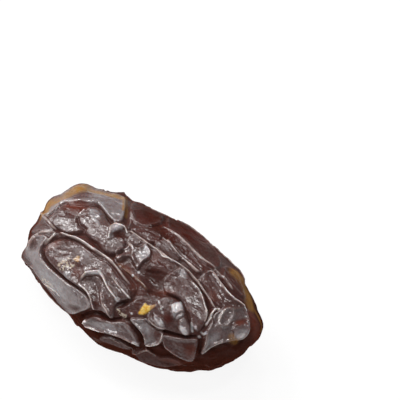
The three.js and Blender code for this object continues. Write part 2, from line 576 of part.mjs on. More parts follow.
// A repeatable draw between two values.
function drawing(seed) {
  const [factor, shift, range] = [1664525, 1013904223, 2 ** 32];
  let state = seed;
  return (low, high) => {
    state = (state * factor + shift) % range;
    return low + ((high - low) * state) / range;
  };
}

// A lengthwise fold that wanders along the rear of the fruit.
function wanderingFold(draw, angle) {
  const points = [];
  let x = draw(...REAR_FOLD.start);
  const end = Math.min(x + draw(...REAR_FOLD.length), REAR_FOLD.last);
  let a = angle + draw(...REAR_FOLD.shift);
  while (x < end) {
    points.push(around(x, a));
    x += draw(...REAR_FOLD.step);
    a += draw(...REAR_FOLD.wander);
  }
  return fold(draw(...REAR_FOLD.height), draw(...REAR_FOLD.flank), draw(...REAR_FOLD.flank), points);
}

// A short fold that ties two lengthwise ones together.
function linkFold(draw) {
  const x = draw(...REAR_LINK.start);
  const a = draw(...REAR_LINK.angle);
  const middle = around(x + draw(...REAR_LINK.middle), a + REAR_LINK.halfTurn);
  const end = around(x + draw(...REAR_LINK.end), a + 2 * REAR_LINK.halfTurn);
  const points = [around(x, a), middle, end];
  return fold(draw(...REAR_LINK.height), draw(...REAR_LINK.flank), draw(...REAR_LINK.flank), points);
}

function rearFolds() {
  const draw = drawing(REAR_SEED);
  const crests = [];
  const grooves = [];
  let count = 0;
  for (let angle = REAR_ANGLES.first; angle < REAR_ANGLES.last; angle += REAR_ANGLES.step) {
    (count % 2 === 0 ? crests : grooves).push(wanderingFold(draw, angle));
    count++;
  }
  for (let i = 0; i < REAR_LINKS; i++) (i % 2 === 0 ? grooves : crests).push(linkFold(draw));
  return { crests, grooves };
}

function tracedFolds(rows) {
  return rows.map(([, height, left, right, trace]) => fold(height, left, right, trace.map(traced)));
}

// The whole relief of the skin as one function of a point of the plain body and its normal.
function skinRelief() {
  const rear = rearFolds();
  const crests = [...tracedFolds(CRESTS), ...rear.crests];
  const grooves = [...tracedFolds(GROOVES), ...rear.grooves];
  const plates = PLATES.map(plate);
  const rearSide = rearPlates();
  const lumps = LUMPS.map(lump);
  const scars = [scar(STEM_SCAR), scar(TIP_SCAR)];
  return (p, normal) => {
    let height = blendedHeight(p, normal, crests) - blendedHeight(p, normal, grooves) + swellHeight(p);
    height += platesHeight(p, normal, plates) + rearPlatesHeight(p, normal, rearSide);
    for (const item of lumps) height += lumpHeight(p, item);
    for (const item of scars) height += scarHeight(p, item);
    return height * offTheRestPatch(p);
  };
}

// 0 on the patch that carries the weight, and 1 away from it.
function offTheRestPatch(p) {
  if (p.z > 0) return 1;
  return smooth((Math.hypot(p.x / REST_PATCH.x, p.y / REST_PATCH.y) - 1) / REST_PATCH.blend);
}

function plainSphere() {
  const sphere = new THREE.IcosahedronGeometry(1, SPHERE_DETAIL);
  sphere.deleteAttribute("uv");
  sphere.deleteAttribute("normal");
  return mergeVertices(sphere);
}

// Moves a point of the unit sphere, so that the mesh is finer along the middle and where most folds are.
function spread(p) {
  const angle = Math.acos(THREE.MathUtils.clamp(p.x, -1, 1));
  const shifted = angle + MIDDLE_SHARE * Math.sin(2 * angle);
  const girth = Math.hypot(p.y, p.z) || 1;
  const size = Math.sin(shifted) / girth;
  p.set(Math.cos(shifted), p.y * size, p.z * size);
  return p.addScaledVector(FOLDED_SIDE, FOLDED_SHARE).normalize();
}

// Puts the middle of the box that holds the fruit over the origin, and the flat spot on z = 0.
function standOnOrigin(geometry) {
  geometry.computeBoundingBox();
  const { min, max } = geometry.boundingBox;
  geometry.translate(-(min.x + max.x) / 2, -(min.y + max.y) / 2, -min.z);
}

function dateGeometry() {
  const geometry = plainSphere();
  const place = geometry.attributes.position;
  const relief = skinRelief();
  const p = new THREE.Vector3();
  for (let i = 0; i < place.count; i++) {
    const base = onBody(spread(p.fromBufferAttribute(place, i)).multiply(SPHERE_STRETCH));
    const normal = outward(base);
    const skin = base.clone().addScaledVector(normal, relief(base, normal));
    place.setXYZ(i, skin.x, skin.y, Math.max(skin.z, REST_HEIGHT));
  }
  standOnOrigin(geometry);
  geometry.computeVertexNormals();
  return geometry;
}

const date = new THREE.Mesh(dateGeometry(), new THREE.MeshStandardMaterial(SKIN));
date.name = "date";

const fruit = new THREE.Group();
fruit.add(date);

export default fruit;
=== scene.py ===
import math

import bpy
import numpy as np
from mathutils import Matrix, Vector, noise


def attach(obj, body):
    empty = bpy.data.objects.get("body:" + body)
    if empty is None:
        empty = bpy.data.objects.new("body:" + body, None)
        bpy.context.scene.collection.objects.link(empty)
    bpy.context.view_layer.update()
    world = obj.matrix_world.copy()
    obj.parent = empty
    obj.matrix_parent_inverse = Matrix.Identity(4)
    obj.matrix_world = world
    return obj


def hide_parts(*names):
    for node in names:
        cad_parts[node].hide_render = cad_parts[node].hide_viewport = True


# A dried medjool date on a pale floor. The shape is worked out in millimetres about the middle of the fruit,
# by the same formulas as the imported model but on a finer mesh, and then goes into the frame in metres.
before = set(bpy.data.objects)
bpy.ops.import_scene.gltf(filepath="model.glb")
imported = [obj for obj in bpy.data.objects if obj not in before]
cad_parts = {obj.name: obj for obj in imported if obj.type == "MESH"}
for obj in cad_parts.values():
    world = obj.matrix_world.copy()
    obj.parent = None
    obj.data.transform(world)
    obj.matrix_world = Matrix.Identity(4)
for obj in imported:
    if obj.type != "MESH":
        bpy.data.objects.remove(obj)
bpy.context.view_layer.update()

# Driving dimensions of the plain body: half sizes towards (-, +) of each axis.
HALF_LENGTH = (27.5, 26.0)
HALF_WIDTH = (14.5, 13.0)
HALF_HEIGHT = (9.3, 10.3)
END_ROUNDNESS = (2.9, 2.0)
SECTION_ROUNDNESS = 2.2

# Pressed facets: heading and pitch of the normal in degrees, and distance from the middle.
FACETS = [
    (-109, -16, 14.5), (-160, 20, 22.4), (175, 41, 21.6), (104, 44, 16.3), (55, 16, 18.2), (1, -32, 21.6),
]
FACET_SHARPNESS = 12

# The flat spot: its height, half sizes of the patch that no fold crosses, and the share over which it blends.
REST_HEIGHT = -9.0
REST_PATCH = (8.0, 4.6)
REST_BLEND = 0.6

# The photograph's view: heading and height in degrees, distance, pixels to the mm, and the fruit's middle.
VIEW_HEADING = 35
VIEW_HEIGHT = 50
VIEW_DISTANCE = 380
PIXELS_PER_MM = 5.4
IMAGE_SIZE = 400
FRUIT_IN_IMAGE = (142, 281)

# Plates of skin between the valleys: name, height, height of the rim, bulge, share of grey bloom with its
# painted sheen, and closed outline in the view.
PLATES = [
    ("collar", 0.21, 0.2, -0.12, 1.6, [44, 213], [51, 199.5], [64, 191], [79, 184.5], [101, 188.5],
     [117, 194], [124, 196], [124.3, 211], [120.5, 220], [113.5, 219.5], [106, 211.5], [98, 203.5],
     [84, 201.5], [62, 201.5], [47, 215]),
    ("kidney left", 0.39, 0, 0.4, 0.85, [49.5, 218.5], [61, 205.5], [72, 206.5], [80, 209], [76, 217],
     [77.5, 224], [83, 228.5], [76, 231.5], [67, 231], [57, 226.5]),
    ("kidney head", 0.45, 0, 0.42, 0.95, [83, 212], [90, 207.5], [97, 208], [102.5, 212], [106, 219],
     [110, 226], [109.5, 236.5], [116, 238], [122, 239], [124.5, 243.5], [121.5, 249.5], [113, 253],
     [104, 249.5], [98, 241.5], [89.5, 236.8], [86, 231.5], [87.5, 227.5], [81, 223], [79.5, 217]),
    ("hook facet", 0.15, 0, 0, 2.0, [109, 240], [110, 232], [112.5, 225.5], [117, 223.5], [125, 228],
     [118, 229], [114.5, 232], [113, 238]),
    ("west facet", 0.27, 0.24, -0.1, 1.5, [23, 257], [29, 246], [36.5, 236.5], [47, 237.5], [40.5, 248],
     [40.5, 258], [48, 267.7], [59, 277], [69, 284.5], [80, 290.5], [87.5, 297.5], [90, 306.5], [80, 311.5],
     [68.5, 314], [57, 303], [44.5, 288.5], [32, 273]),
    ("north facet", 0.18, 0.16, 0, 0.6, [37, 222], [42, 216], [47.5, 223.5], [53, 229.5], [44, 230],
     [33, 232.5]),
    ("left cell", 0.39, 0, 0.2, 0.95, [45.5, 250], [51, 243.5], [60, 240.3], [70, 240.5], [80, 244],
     [89.5, 251], [97.5, 258.5], [106.5, 264], [113, 271], [118.5, 278.5], [126, 287.5], [129.5, 296.5],
     [119, 300.8], [113.5, 306], [112, 318], [108.5, 317], [102, 311], [93, 309], [90.5, 299.5],
     [84.5, 290.3], [77, 285.2], [65, 276.7], [55, 267.5], [47.5, 258.5]),
    ("star", 0.42, 0.16, -0.17, 1, [115.5, 256], [119, 250.5], [127, 247.5], [131, 244.5], [138, 248],
     [145.5, 244], [150, 250.5], [149.5, 256], [142.5, 262], [137, 268.5], [134, 262], [130, 256.5],
     [124, 257.5], [119, 260.5]),
    ("hook pane", 0.3, 0, 0, 1, [131, 236], [140, 242], [133, 243.5], [127.5, 242]),
    ("long slope", 0.21, 0, 0.1, 0.25, [152, 249.5], [166, 258.5], [180, 266.5], [175, 275], [160, 270],
     [146, 268], [152.5, 258]),
    ("crescent", 0.42, 0, 0, 0.85, [164, 279], [174, 271], [181.5, 268.5], [190.5, 277], [199, 287],
     [205, 300.5], [207.3, 313.5], [204, 323], [199, 330.5], [194, 328.5], [189.5, 319], [186.5, 308],
     [180.5, 298.5], [172.5, 293.5], [166, 290]),
    ("tiles", 0.3, 0, 0.15, 0.8, [147.5, 316], [152.5, 323], [160, 327], [173, 331.5], [184, 334.5],
     [190, 334.5], [189.3, 324], [186.5, 313], [182, 303.5], [174, 297.5], [162, 298], [156, 305],
     [150, 311]),
    ("tile", 0.42, 0, 0, 2.0, [172, 305.5], [181.3, 303.8], [183.3, 315.5], [174.5, 318]),
    ("tile low", 0.42, 0, 0.1, 1.3, [180, 323], [184.5, 318.5], [189, 328], [188.5, 334], [183.5, 334]),
    ("tile west", 0.3, 0, 0.1, 1.5, [154.5, 316], [160.5, 318.5], [165, 325], [162.5, 328], [156.5, 323.5]),
    ("fleck shelf", 0.15, 0, 0, 0.15, [122, 309], [130, 303], [140, 297], [149, 301], [153, 305], [146, 313],
     [141, 319], [130, 317.5]),
    ("pane", 0.39, 0.2, -0.12, 1.4, [130, 319.5], [138, 320], [145.5, 319.5], [152, 327], [162, 331],
     [161.5, 339], [158, 344], [146, 345], [144.5, 337], [139, 329]),
    ("pane big", 0.42, 0.2, -0.1, 0.8, [164, 335.5], [175, 337.5], [186, 339], [197, 340], [196, 348],
     [193, 360], [184, 360], [174, 353.5], [165.5, 347], [163.5, 341]),
    ("end plate", 0.42, 0.2, 0, 1.15, [222, 309.5], [234, 308.7], [244, 310], [247.5, 319], [246.5, 331],
     [242, 338.5], [232, 340.5], [220, 343], [210, 347.5], [202, 353.5], [205.5, 342], [207, 333],
     [211, 325], [214.5, 315]),
    ("end knob", 0.3, 0, 0.25, 1, [231.5, 330], [236, 325.5], [245, 324.5], [246, 332], [241, 338.5],
     [233.5, 338.5]),
    ("oval", 0.21, 0.24, -0.1, 1, [219, 321], [222, 312.5], [228, 309], [233, 313], [231.5, 320.5],
     [226.5, 326], [220.5, 326]),
    ("east pillow", 0.42, 0, 0.15, 0.6, [203, 275.5], [210, 273.5], [216, 278.5], [221.5, 285.5], [228, 294],
     [236, 301], [243, 307], [234, 307.8], [223, 307.8], [216, 304], [211, 297], [207, 290], [203.5, 283]),
    ("ear", 0.42, 0, 0.15, 0.35, [155, 243.5], [161.5, 240], [168, 243.5], [173, 250], [179, 257.5],
     [177.5, 260.5], [169, 255.5], [160, 249.5]),
    ("far strip", 0.27, 0.16, 0, 0.5, [168, 240], [176, 246], [184, 254], [193, 262], [203, 270.5],
     [200, 273], [190.5, 265.5], [180, 257], [172, 248]),
    ("band", 0.42, 0.2, -0.07, 1.1, [83.5, 322], [88, 319.5], [95, 317], [103, 320], [111, 322.5],
     [119, 322], [126, 324], [132, 331], [138.5, 343.5], [133, 342], [123, 337], [112, 332.5], [99, 329.5],
     [90, 325.5]),
    ("low strip", 0.27, 0.12, 0, 0.5, [101.5, 337.5], [108, 336], [116, 339.5], [125, 343.5], [130, 348.5],
     [122, 347.5], [112, 343]),
    ("low sheet", 0.21, 0.16, 0, 0.3, [133, 351], [141, 350.5], [148, 350.5], [157, 356.5], [170, 358.5],
     [182, 364], [168, 366], [150, 363], [138, 357.5]),
    ("shade sheet", 0.24, 0.16, 0.05, 0.15, [131.5, 204], [141, 200.5], [155, 205.5], [163, 213], [160, 222],
     [149, 225], [137, 222], [132.5, 214]),
    ("shade slope", 0.24, 0.12, 0, 0.2, [133, 229], [141, 227], [154, 230.5], [161, 236.5], [153, 241.5],
     [143, 237.5]),
    ("far sheet", 0.24, 0.16, 0.05, 0.1, [170, 216], [184, 221], [200, 233], [212, 247], [221, 262],
     [214, 268], [203, 260], [190, 247], [176, 234], [168, 226]),
    ("east sheet", 0.21, 0.16, 0, 0.3, [226, 266], [236, 273], [241, 283], [246, 296], [241, 295],
     [232, 286], [223, 276]),
]

# Crests of the folded skin, with a painted highlight along them: name, height, width of the flank on the left
# and on the right, and trace in the view.
CRESTS = [
    ("main fold", 0.71, 0.38, 0.38, [57, 230], [62, 232.5], [70, 236], [80, 240], [90, 247], [98, 252],
     [106, 257], [112, 262.5], [118, 269], [124, 277], [130, 284.5], [132, 288]),
    ("west fold", 0.45, 0.43, 0.34, [57, 230], [51, 231.5], [42, 232], [36, 235], [31, 242], [26.5, 250]),
    ("west rim", 0.3, 0.2, 0.2, [24.5, 254], [28, 262], [34, 270], [43, 281], [52, 292], [61, 303]),
    ("fork", 0.45, 0.38, 0.3, [57, 230], [51, 237], [43, 246.5]),
    ("collar left", 0.45, 0.43, 0.43, [42, 213], [46, 219], [51, 224.5], [57, 230]),
    ("collar crease", 0.26, 0.26, 0.21, [47, 216], [54, 209], [60.5, 202.5]),
    ("collar wave", 0.15, 0.26, 0.26, [61, 201.5], [73, 197.5], [84, 196], [93, 199.5], [98, 204]),
    ("collar wave low", 0.15, 0.26, 0.26, [64, 203.5], [76, 201.5], [88, 202.5]),
    ("kidney crest", 0.41, 0.26, 0.3, [76.5, 217], [80.5, 212.5], [86.5, 209]),
    ("hook", 0.75, 0.25, 0.22, [109, 240], [110.5, 233], [111.5, 227.5], [115, 224.5], [120, 226.5],
     [126, 229.5], [127.5, 233]),
    ("arch", 0.45, 0.34, 0.3, [81, 284], [82.5, 278], [87, 273.5], [92, 272], [98, 272], [102.5, 275],
     [105, 280], [109, 288], [114, 295], [118, 300]),
    ("arch left", 0.38, 0.26, 0.34, [80, 285], [86, 289], [90, 294.5], [92.5, 301], [94, 308]),
    ("inner crease", 0.38, 0.38, 0.26, [100, 289], [103, 304], [107, 310.5], [110, 319]),
    ("parallel crease", 0.26, 0.34, 0.34, [108, 268], [114, 277], [119, 285], [124, 292.5], [128.5, 297.5]),
    ("cell fold", 0.23, 0.26, 0.26, [112, 264], [118, 272], [124, 281], [130, 291]),
    ("amber thread", 0.34, 0.21, 0.21, [118, 263], [126, 270], [133, 275], [140, 281], [145, 286],
     [147.5, 291.5]),
    ("star spine", 0.34, 0.3, 0.3, [129, 243], [133, 248.5], [131.5, 255], [135, 264]),
    ("star edge", 0.26, 0.51, 0.3, [145, 245], [149.5, 251], [148.5, 256.5], [142, 262]),
    ("cell foot", 0.34, 0.34, 0.26, [146, 316], [151, 322.5], [158, 327], [165, 329]),
    ("beads", 0.3, 0.26, 0.26, [158.5, 300], [160, 305], [162, 312]),
    ("crescent edge", 0.26, 0.26, 0.34, [190, 277], [199, 287.5], [204.5, 301], [207, 313], [203.5, 323]),
    ("long fold", 0.68, 0.34, 0.3, [127, 230], [135, 235], [143, 240], [152, 246], [162, 253], [170, 259],
     [179, 264], [186, 269], [193, 276], [200, 284], [206, 293], [211, 302], [214, 307], [219, 309]),
    ("white hook", 0.56, 0.3, 0.3, [220.5, 308.8], [215.5, 309.7], [211, 314.5], [208, 322], [204, 329]),
    ("east fold", 0.75, 0.3, 0.34, [203, 274], [210, 272.5], [214.5, 277.5], [219.5, 285], [225.5, 293],
     [232, 299.5], [239, 304], [247, 310]),
    ("far fold", 0.38, 0.3, 0.34, [162, 236], [170, 244], [176, 252], [183, 258], [190, 265], [196, 270.5],
     [203, 274.5]),
    ("shade fold", 0.3, 0.43, 0.43, [130.5, 208], [131, 219], [128, 230]),
    ("south spur", 0.26, 0.26, 0.26, [206.5, 336], [205.5, 342], [201, 353.5]),
    ("pane left", 0.26, 0.3, 0.26, [130, 320], [136, 324.5], [140.5, 330.5], [145, 338], [144.5, 344.5]),
    ("pane foot", 0.26, 0.26, 0.26, [145, 345], [155, 345], [160, 342.5], [162.5, 338]),
    ("pane foot right", 0.26, 0.26, 0.26, [163, 342], [168, 349.5], [177, 355]),
    ("south fold", 0.34, 0.43, 0.26, [84, 322], [92, 326.5], [104, 331], [117, 334], [127, 338.5],
     [136, 343.5]),
    ("south wave", 0.3, 0.26, 0.26, [129, 348], [135, 352.5], [140, 352], [146, 350], [150, 351.5],
     [156, 356]),
    ("belly line", 0.19, 0.34, 0.34, [156, 356], [168, 361], [178, 364], [190, 364]),
    ("red line", 0.23, 0.26, 0.26, [231, 325], [238, 323.5], [246, 320.5], [250, 320.5]),
    ("shade line", 0.26, 0.34, 0.34, [131, 200], [146, 203], [163, 211], [181, 221], [198, 234], [212, 248]),
    ("far line", 0.34, 0.34, 0.34, [160, 224], [173, 233], [188, 246], [202, 259], [215, 269], [226, 281],
     [236, 293]),
]

# Grooves between the folds, painted darker as shade: name, depth, width of the flank on the left and on the
# right, and trace in the view.
GROOVES = [
    ("collar foot", 0.39, 0.28, 0.28, [48, 217.5], [55, 210.5], [61, 204.5], [74, 204.5], [86, 205.5],
     [98, 206], [106, 213.5], [112, 221], [117, 223]),
    ("kidney foot", 0.46, 0.28, 0.24, [49, 219.5], [55, 227.5], [63, 231.5], [72, 234], [80, 233.5],
     [85, 233.5], [91, 240], [98, 245.5], [103, 252], [112, 255.5], [121, 252.5], [126, 246.5]),
    ("kidney split", 0.28, 0.21, 0.21, [85, 230], [80.5, 225], [78.5, 219]),
    ("cell north", 0.46, 0.28, 0.24, [43, 248], [49, 242], [57, 237.5], [68, 238.2], [78, 241.8],
     [88, 248.5], [95, 254]),
    ("cell west", 0.51, 0.32, 0.28, [42.5, 248], [42.5, 258], [49, 266.5], [60, 276], [70, 283.5],
     [80, 290.5], [88, 297], [91.5, 305]),
    ("mid valley", 0.46, 0.6, 0.6, [122, 266], [130, 277], [136, 286], [135, 293], [130, 301]),
    ("basin floor", 0.46, 1.2, 1.2, [148, 290], [157, 292], [166, 293]),
    ("crescent west", 0.51, 0.28, 0.28, [164, 293.5], [173, 295.8], [181.5, 301], [186, 311], [189.5, 322.5],
     [192, 333]),
    ("crescent east", 0.54, 0.24, 0.24, [186, 271.5], [195, 281], [202, 291], [207, 303], [209.5, 314],
     [205.5, 325], [199, 332.5]),
    ("long shade", 0.39, 0.21, 0.21, [129, 228], [138, 233.5], [148, 239.5], [158, 246], [168, 254],
     [178, 261], [188, 268], [197, 277], [205, 288], [211, 298]),
    ("cell south", 0.46, 0.24, 0.28, [143, 317], [149, 324.5], [157, 329.5], [168, 332.5], [182, 336.3],
     [197, 336.8]),
    ("south gap", 0.46, 0.24, 0.24, [200.5, 334], [201, 345], [197.5, 357]),
    ("pane valley", 0.54, 0.32, 0.28, [120, 319.5], [128, 321], [134.5, 327.5], [139.5, 335], [142, 343.5]),
    ("south valley", 0.62, 0.28, 0.32, [78, 319.5], [85, 315], [94, 313], [103, 316.5], [111, 320.5],
     [118, 319.5], [124, 317]),
    ("shelf edge", 0.39, 0.21, 0.21, [119, 303], [125, 301.5], [131, 300], [134, 295]),
    ("undercut", 0.46, 0.24, 0.35, [82, 325.5], [92, 329.5], [104, 333.8], [116, 336.5], [127, 341.5],
     [140, 347.5]),
    ("amber gutter", 0.39, 0.35, 0.35, [127.3, 204], [127.5, 214], [126, 226]),
    ("east shade", 0.54, 0.24, 0.32, [217, 275], [224, 283.5], [231, 292.5], [238, 299], [247, 306]),
    ("hook pocket", 0.4, 0.35, 0.35, [116.5, 231.5], [121, 233], [125.5, 235.5]),
]

# Lumps and hollows: name, height, middle and half sizes in the view, and clockwise turn.
LUMPS = [
    ("bead", 0.4, [121, 257], [6, 5], 20),
    ("trough", -0.4, [96, 290], [20, 7], 65),
    ("arch pocket", -0.25, [92, 281], [9, 5], 20),
    ("pit", -0.6, [121, 304], [9, 4.5], -15),
    ("basin", -0.9, [158, 281], [22, 13], 30),
    ("right end", 0.9, [259, 332], [24, 17], 60),
    ("lower belly", 0.8, [93, 340], [34, 15], 35),
    ("belly", 0.35, [166, 371], [36, 12], 10),
    ("far side", 0.3, [240, 272], [16, 9], 55),
    ("crumb dent", -0.3, [80, 268], [7, 5], 50),
    ("lobe dent", -0.3, [70, 213], [7, 5], 20),
    ("left corner", 0.75, [23, 256], [12, 10], 80),
    ("left brow", 0.35, [30, 230], [14, 9], -65),
    ("collar west", 0.65, [49, 199], [14, 9], -45),
    ("collar peak", 0.6, [81, 184], [17, 9], 0),
    ("collar east", 0.35, [122, 195], [14, 8], 15),
    ("south east", 0.6, [245, 351], [26, 11], -40),
    ("south west", 0.35, [76, 323], [13, 9], 50),
]

# Slow unevenness: waves along X, Y and Z in radians per mm, phase, and height.
SWELLS = [(0.22, 0.5, 0.3, 0.4, 0.1), (0.35, -0.3, 0.7, 1.9, 0.08), (-0.5, 0.62, -0.4, 3.1, 0.06)]

# Long folds of the side that the view doesn't show, drawn by a seeded rule: their angles about X, and the
# ranges that are drawn, in mm along X, degrees about it, and mm of height and flank.
REAR_SEED = 20406
REAR_ANGLES = (222, 396, 11)
REAR_FOLD = {
    "start": (-24, -12), "length": (16, 42), "last": 22, "shift": (-4, 4), "step": (2.5, 5),
    "wander": (-7, 7), "height": (0.35, 0.75), "flank": (0.35, 0.8),
}

# Short folds that tie the long ones together: how many, their turn about X, and the ranges that are drawn.
REAR_LINKS = 26
REAR_LINK = {
    "start": (-22, 18), "angle": (222, 380), "half turn": 8, "middle": (0.5, 3), "end": (1, 5),
    "height": (0.2, 0.5), "flank": (0.25, 0.5),
}

# Plates of that side: the grid of their middles in mm along X and degrees about it, how far each middle is
# drawn off its place, how much longer than wide they are, the ranges that are drawn, and the waves that bend
# their borders: radians per mm along X, Y and Z, and size.
REAR_PLACES = (-22, 25, 9)
REAR_TURNS = (190, 430, 24)
REAR_SHIFT = (3.5, 10)
REAR_STRETCH = (1.7, 1.0, 1.0)
REAR_PLATE = {"height": (0.1, 0.5), "bulge": (-0.25, 0.35), "bloom_and_sheen": (0.0, 0.6), "rim": 0.2, "rim light": 0.8}
REAR_WARP = [(0.0, 0.5, 0.35, 1.0), (0.5, 0.0, 0.2, 0.9), (0.42, 0.3, 0.0, 0.9)]

# Scars: heading, pitch, ring radius, ring height, hollow depth.
STEM_SCAR = (196, -14, 2.4, 0.35, 0.9)
TIP_SCAR = (10, -16, 1.1, 0.2, 0.4)
RING_WIDTH = 0.6

# Fine wrinkles: size of the wave in mm along and across the fruit, and height. Then how round their crests
# are, and how far the noise of each wave lies from that of the one before.
WRINKLES = [(4.0, 2.2, 0.13), (2.0, 1.1, 0.065), (0.9, 0.6, 0.03)]
WRINKLE_ROUNDING = 0.03
WRINKLE_OFFSET = 17.0

# Longer wrinkles of the flank, which come in from the upper of two heights on the fruit to the lower one, the
# heights of a crest between which a painted highlight comes on, and how light it is.
FLANK_WRINKLES = [(9.0, 1.9, 0.22), (4.0, 1.0, 0.08)]
FLANK_TOP = (3.5, -0.5)
FLANK_CREST = (0.02, 0.11)
FLANK_LIGHT = 0.4

# Folds: rounding of the crest in mm, power by which heights that meet are blended, reach in mm and in flanks,
# how the ends fade, and the height from which a fold is marked in full.
CREST_ROUNDING = 0.08
FOLD_BLEND = 4
FOLD_REACH = {"least": 2.0, "flanks": 5}
FOLD_END = {"length": 2.0, "parts": 3, "rise": 0.3}
FULL_FOLD = 0.4

# Plates, in mm: width of the edge and how far outside the outline it stands, width and inset of the rim, the
# height from which a rim is marked in full, and width of the bulge's rise. The margin is in pixels.
PLATE_EDGE = 0.32
PLATE_GROWTH = 0.12
RIM_WIDTH = 0.26
RIM_INSET = 0.25
FULL_RIM = 0.25
BULGE_WIDTH = 2.2
PLATE_MARGIN = 8

# Lumps: depth in mm. Thin lines and amber: reach in half widths. Thin lines: how soon they are full where the
# skin turns to the view. Scraps: width of the edge in mm, and margin in pixels.
LUMP_DEPTH = 7
LINE_REACH = 4
LINE_GAIN = 3
SCRAP_EDGE = 0.25
SCRAP_MARGIN = 4

# Mesh: steps along an edge of the icosahedron, stretch, how much the points are drawn to the middle and to
# the folded side, and how many of them are worked out at a time.
MESH_DETAIL = 96
SPHERE_STRETCH = (26, 13.5, 9.5)
MIDDLE_SHARE = 0.15
FOLDED_SIDE = (0, -0.55, 0.83)
FOLDED_SHARE = 0.4
CHUNK = 4000

# How far the skin usually stands out of the plain body in mm, the turn to the view from which it is seen in
# full, and the steps in mm of a trace and of a slope, and in pixels of an outline.
USUAL_RISE = 0.35
TURNED_AWAY = 0.35
TRACE_STEP = 0.45
SURFACE_STEP = 0.05
OUTLINE_STEP = 2.0

# The search for where a line leaves the plain body: reach and step along a line of sight in mm, distances
# that surely lie outside, towards the eye and from the axis, and how often what lies between is halved.
SIGHT_SEARCH = (20, 0.1)
SURELY_OUTSIDE = 60
AXIS_REACH = 40
HALVINGS = 40

# Masks of the skin: the most bloom and painted sheen of any place, the painted sheen of open skin, which is
# lighter where it faces the view and stands high, the painted highlight of bright facets, the heights on the
# fruit between which open skin and the flank change, how much the other masks count or take away where they
# meet, the painted highlight of plate rims among them, and the turn to the view over which amber fades.
MOST_BLOOM_AND_SHEEN = 2
OPEN_SKIN_SHEEN = 0.35
FACET_HIGHLIGHT = 1.1
OPEN_HEIGHTS = (3.0, 7.0)
FLANK_HEIGHTS = (0.5, 5.5)
RIM_LIGHT = 0.5
RED_SHARE = 0.7
RED_IN_VALLEYS = 0.5
RED_IN_LINES = 0.7
REAR_LIGHT = 0.6
REAR_LINE_LOSS = 0.6
AMBER_END = (-0.35, 0.0)

# Painted highlights and painted shade, as soft lighter and darker places of the bloom and its sheen,
# whatever colour a row's name gives: name, change, middle and half sizes in the view, and clockwise turn.
PAINTED_LIGHT_AND_SHADE = [
    ("cell purple shade", -0.9, [64, 244], [17, 9], -5),
    ("cell brown", -0.7, [79, 272], [11, 8], 60),
    ("cell gleam", 0.5, [84, 254], [13, 5], 25),
    ("cell gleam low", 0.9, [67, 276], [8, 5], 50),
    ("cell right", -0.6, [108, 276], [14, 5], 60),
    ("lens foot", -0.8, [96, 304], [12, 5], 70),
    ("collar inner", -0.6, [80, 195], [20, 7], 0),
    ("kidney red shade", -1.0, [74, 209], [15, 10], 0),
    ("kidney gleam", 0.3, [73, 224], [8, 5], 0),
    ("head gleam", 0.75, [95, 215], [9, 7], 40),
    ("head foot", -0.3, [112, 241], [9, 6], 30),
    ("star gleam", 1.7, [144, 254], [8, 7], -50),
    ("star left", -0.2, [124, 253], [9, 6], 0),
    ("hook shade", -1.0, [118.5, 234], [9, 6], 10),
    ("west top", -0.6, [33, 244], [9, 7], -60),
    ("west gleam", 0.5, [52, 284], [24, 9], 45),
    ("west foot", -0.8, [75, 309], [14, 5], 10),
    ("basin", -0.7, [152, 270], [24, 12], 20),
    ("basin rim", -0.9, [158, 292], [18, 6], 0),
    ("crescent top", 0.9, [183, 273], [8, 5], 40),
    ("crescent low", 0.3, [199, 305], [10, 6], 80),
    ("tile low gleam", 0.8, [185, 333], [6, 4], 80),
    ("tile shade", -0.9, [169, 319], [9, 7], 40),
    ("tiles west", 0.6, [153, 319], [5, 6], 40),
    ("pane big foot", -0.8, [189, 350], [12, 13], 0),
    ("pane east", -0.7, [158, 335], [6, 9], 0),
    ("band gleam", 0.9, [107, 327], [20, 5], 14),
    ("band top", -0.8, [98, 319], [18, 4], 8),
    ("crescent west", -0.5, [176, 288], [10, 7], 20),
    ("pane gleam", 0.6, [144, 328], [10, 6], 40),
    ("knob gleam", 1.8, [240, 334], [11, 5], -10),
    ("end red shade", -1.0, [240, 322], [12, 3.5], -15),
    ("end rim", 0.8, [212, 340], [12, 6], -40),
    ("pillow gleam", 0.2, [223, 299], [6, 5], 40),
    ("ear gleam", 0.3, [163, 245], [8, 6], 20),
    ("pillow west", -0.7, [210, 295], [6, 14], -25),
    ("right band", -1.0, [257, 326], [22, 8], 85),
    ("far shade", -1.6, [168, 222], [52, 24], 38),
]

# Soft places where red flesh shows through: name, strength, middle and half sizes in the view,
# and clockwise turn.
REDS = [
    ("lobe", 1.0, [76, 206], [19, 10], 5),
    ("cell corner", 0.8, [54, 245], [12, 6], -30),
    ("cell brown", 0.5, [77, 273], [8, 11], 0),
    ("end", 1.0, [238, 323.5], [11, 4.5], -5),
    ("pane big", 0.6, [190, 351], [9, 11], 0),
    ("valley", 0.8, [126, 268], [16, 6], 45),
    ("valley foot", 0.6, [134, 284], [8, 12], 0),
    ("basin", 0.7, [162, 291], [20, 5], 5),
    ("east", 0.5, [214, 297], [8, 10], -20),
    ("slope top", 0.6, [154, 257], [10, 8], 0),
    ("south", 0.7, [176, 362], [22, 4], 8),
    ("right band", 0.8, [253, 325], [22, 6], 85),
]

# Clear amber skin: name, strength, half width in mm, and trace in the view.
AMBER = [
    ("collar", 1.0, 1.6, [42.5, 216], [47, 208], [53.5, 202], [65, 195], [76, 190], [84, 188.5]),
    ("collar east", 0.9, 0.9, [82, 188], [93, 190], [104, 192.5], [122, 198]),
    ("gutter", 0.8, 0.28, [123.5, 197.5], [124, 203], [123.5, 209]),
    ("gutter shade", 0.35, 0.35, [126.8, 197], [126.8, 206], [126, 214]),
    ("east shoulder", 0.9, 1.5, [236, 274], [244, 284], [249, 294], [252, 303]),
    ("valley thread", 0.2, 0.22, [118, 263], [128, 271], [137, 278], [146, 288]),
    ("knob foot", 0.9, 0.6, [231, 337], [232, 340], [236, 342]),
    ("right edge", 0.5, 0.6, [257, 311], [258.5, 318], [258, 328]),
]
